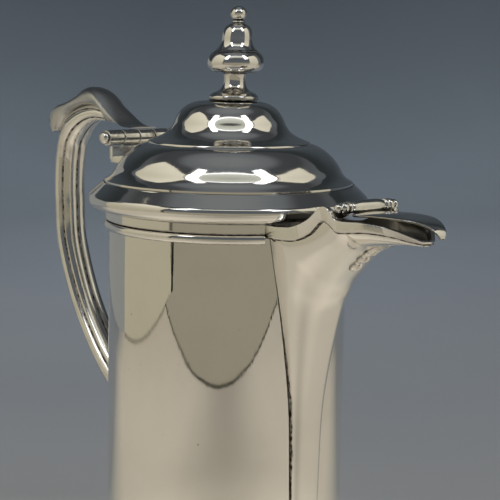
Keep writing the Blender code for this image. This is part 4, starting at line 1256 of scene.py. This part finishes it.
# studio: a pale sweep that turns blue-grey behind, boards and lamps for the silver to mirror, a top light
studio = dict(
    sightTurn=50.0,
    lens=102.5,
    distance=0.6,
    lift=7.4,
    roll=0.9,
    shift=(0.044, -0.044),
    aim=Vector((0, 0, vessel["rimZ"])),
    wallBack=2.4,
    floorFront=3.0,
    halfWidth=4.0,
    wallHeight=3.0,
    bend=0.9,
    lampSize=2.0,
    lampPower=40,
    lampColour=(1.0, 0.99, 0.97),
    lampAhead=0.2,
    lampHeight=2.3,
    # share of the way from the wall to the front, and colour
    paper=((0.0, (0.186, 0.225, 0.265)), (0.25, (0.285, 0.335, 0.395)), (0.43, (0.272, 0.31, 0.36)),
           (0.67, (0.217, 0.235, 0.26)), (0.745, (0.233, 0.242, 0.253)), (0.775, (0.43, 0.41, 0.36)),
           (0.80, (0.56, 0.51, 0.435))),
    # share of the way from straight down to straight up, and colour
    room=((0.0, (0.26, 0.24, 0.18)), (0.49, (0.26, 0.24, 0.18)), (0.52, (0.10, 0.11, 0.12)),
          (0.72, (0.09, 0.10, 0.11)), (0.82, (0.075, 0.08, 0.085)), (0.87, (0.045, 0.048, 0.052)),
          (0.92, (0.05, 0.053, 0.058)), (0.965, (0.13, 0.14, 0.15)), (1.0, (0.17, 0.18, 0.185))),
    # the two ends' turns, distances, foot and tops, and the colours at foot and top
    boards=dict(
        leftBoard=((-62, -3.2), (0.66, 0.89), 0.0, (1.02, 1.12), (0.40, 0.365, 0.27), (0.72, 0.68, 0.56)),
        leftFarBoard=((-108, -62), (0.95, 0.67), 0.0, (0.40, 0.34), (0.24, 0.245, 0.235),
                      (0.24, 0.245, 0.235)),
        leftBoardEdge=((-3.2, -1.0), (0.89, 0.90), 0.0, (1.28, 1.28), (0.015, 0.015, 0.012),
                       (0.03, 0.03, 0.03)),
        # painted shadow: a dark strip at the foot of the left board, seen in the silver
        leftBoardFootShadow=((-62, -3.2), (0.655, 0.885), 0.0, (0.004, 0.004), (0.22, 0.20, 0.15),
                       (0.22, 0.20, 0.15)),
        rightBoard=((109, 152), (0.84, 0.62), 0.0, (1.06, 0.80), (0.44, 0.41, 0.33), (0.72, 0.68, 0.56)),
        frontPanelTop=((14, 89), (1.15, 1.15), 1.75, (1.90, 1.90), (1.7, 1.7, 1.72), (1.7, 1.7, 1.72)),
        leftLamp=((-1, 14), (1.05, 1.05), 0.86, (2.2, 2.2), (2.6, 2.6, 2.65), (2.6, 2.6, 2.65)),
        rightLamp=((89, 106), (1.05, 1.05), 0.86, (2.2, 2.2), (2.6, 2.6, 2.65), (2.6, 2.6, 2.65)),
        frontPanel=((14, 89), (1.15, 1.15), 1.10, (1.75, 1.75), (0.46, 0.47, 0.41), (0.60, 0.61, 0.56)),
    ),
    # what lies beyond the table's front edge: near and far distance, colour
    frontTurn=43,
    frontHalf=2.5,
    frontLift=2 * mm,
    # painted shade: the dark strip at the table's front edge stands for its shaded side
    front=dict(tableEdgeShade=(0.508, 0.52, (0.03, 0.028, 0.02)), roomFloor=(0.52, 3.0, (0.28, 0.255, 0.195))),
)


def aimed(degrees):
    turn = math.radians(degrees)
    return Vector((math.sin(turn), -math.cos(turn), 0))


def up(height):
    return Vector((0, 0, height))


toCamera = aimed(studio["sightTurn"])
toRight = aimed(studio["sightTurn"] + 90)


def sweepPaper():
    finish, tree = newFinish("sweepPaper")
    place = ownPlace(tree)
    ahead, aside = (vectorCalc(tree, "DOT_PRODUCT", place, way) for way in (toCamera, toRight))
    away = calc(tree, "ABSOLUTE", aside)
    spread = calc(tree, "ADD", ahead, remap(tree, away, 0.15, 0.45, 0, 0.22))
    colour = rampOf(tree, remap(tree, spread, -studio["wallBack"], 0.6), studio["paper"], "LINEAR")
    # painted light: a painted pool of light round the foot, a painted shadow straight ahead and painted
    # shade fading up the wall
    near = vectorCalc(tree, "DISTANCE", place, (0.06, -0.04, 0))
    glow = remap(tree, near, 0.27, 0.15, 1.0, 1.35, smooth=True)
    shadow = remap(tree, away, 0, 0.30, 0.66, 1, smooth=True)
    paintedFrontShadow = blend(tree, remap(tree, ahead, 0, 0.25, smooth=True), 1.0, shadow, "FLOAT")
    rise = remap(tree, split(tree, place)["Z"], 0.0, 0.38, 1.0, 0.66)
    grain = remap(tree, noise(tree, place, 6, 4), 0, 1, 0.96, 1.04)
    level = calc(tree, "MULTIPLY", calc(tree, "MULTIPLY", rise, grain), calc(tree, "MULTIPLY", paintedFrontShadow, glow))
    shade = put(tree, "ShaderNodeVectorMath", {0: colour, "Scale": level}, operation="SCALE")
    give(tree, tree.nodes["Principled BSDF"], {
        "Base Color": shade.outputs["Vector"], "Roughness": 0.9, "Specular IOR Level": 0.1,
    })
    return finish


def makeSweep():
    bend, back, half, steps = studio["bend"], studio["wallBack"], studio["halfWidth"], 24
    line = [(studio["floorFront"], 0.0)]
    for k in range(steps + 1):
        turn = math.pi / 2 * k / steps
        line.append((-back + bend - bend * math.sin(turn), bend - bend * math.cos(turn)))
    line.append((-back, studio["wallHeight"]))
    rows = [[toCamera * s + toRight * side + up(z) for side in (-half, half)] for s, z in line]
    mesh = gridMesh("studioSweep", rows)
    settle(mesh, lambda spot: up(1))
    newPiece("studioSweep", mesh, sweepPaper())


makeSweep()


def makeCard(name, corners, below, above):
    # a glowing board that the camera itself doesn't see
    finish, tree = newFinish(name + "Glow")
    tree.nodes.remove(tree.nodes["Principled BSDF"])
    low, high = min(c.z for c in corners), max(c.z for c in corners)
    share = remap(tree, split(tree, ownPlace(tree))["Z"], low, max(high, low + mm))
    glow = put(tree, "ShaderNodeEmission", {"Color": rampOf(tree, share, ((0.0, below), (1.0, above)))})
    give(tree, tree.nodes["Material Output"], {"Surface": glow.outputs["Emission"]})
    card = newPiece(name, newMesh(name, corners, faces=[(0, 1, 2, 3)]), finish)
    card.visible_camera = False
    return card


def makeBoards():
    for name, (turns, reaches, low, tops, below, above) in studio["boards"].items():
        left, right = (aimed(turn) * reach for turn, reach in zip(turns, reaches))
        corners = [left + up(low), right + up(low), right + up(tops[1]), left + up(tops[0])]
        makeCard(name, corners, below, above)


makeBoards()


def frontRoom():
    # seen only in the silver, so the floor stays pale from every side
    half, lift = studio["frontHalf"], up(studio["frontLift"])
    ahead, aside = aimed(studio["frontTurn"]), aimed(studio["frontTurn"] + 90)
    for name, (near, far, colour) in studio["front"].items():
        places = ((near, -half), (near, half), (far, half), (far, -half))
        card = makeCard(name, [ahead * s + aside * side + lift for s, side in places], colour, colour)
        card.visible_diffuse = False
        card.visible_shadow = False


frontRoom()


def makeWorld():
    world = bpy.data.worlds.new("studioRoom")
    scene.world = world
    world.use_nodes = True
    tree = world.node_tree
    height = split(tree, ownPlace(tree, "Generated"))["Z"]
    give(tree, tree.nodes["Background"], {"Color": rampOf(tree, remap(tree, height, -1, 1), studio["room"])})


makeWorld()


def makeOverhead():
    # the soft top light, kept out of the silver's mirror
    lamp = bpy.data.lights.new("overheadSoftbox", "AREA")
    lamp.shape = "SQUARE"
    lamp.size = studio["lampSize"]
    lamp.energy = studio["lampPower"]
    lamp.color = studio["lampColour"]
    holder = bpy.data.objects.new("overheadSoftbox", lamp)
    holder.location = toCamera * studio["lampAhead"] + up(studio["lampHeight"])
    holder.visible_glossy = False
    scene.collection.objects.link(holder)


makeOverhead()


def makeCamera():
    lens = bpy.data.cameras.new("photoCamera")
    lens.lens = studio["lens"]
    lens.sensor_width = 36
    lens.shift_x, lens.shift_y = studio["shift"]
    lens.clip_start = 0.01
    camera = bpy.data.objects.new("photoCamera", lens)
    scene.collection.objects.link(camera)
    lift = math.radians(studio["lift"])
    back = toCamera * math.cos(lift) + up(math.sin(lift))
    camera.location = studio["aim"] + back * studio["distance"]
    aim = (-back).to_track_quat("-Z", "Y").to_matrix()
    aim = aim @ Matrix.Rotation(math.radians(studio["roll"]), 3, "Z")
    camera.rotation_euler = aim.to_euler()
    scene.camera = camera


makeCamera()
scene.view_settings.view_transform = "Standard"

print("flagon: studio done")
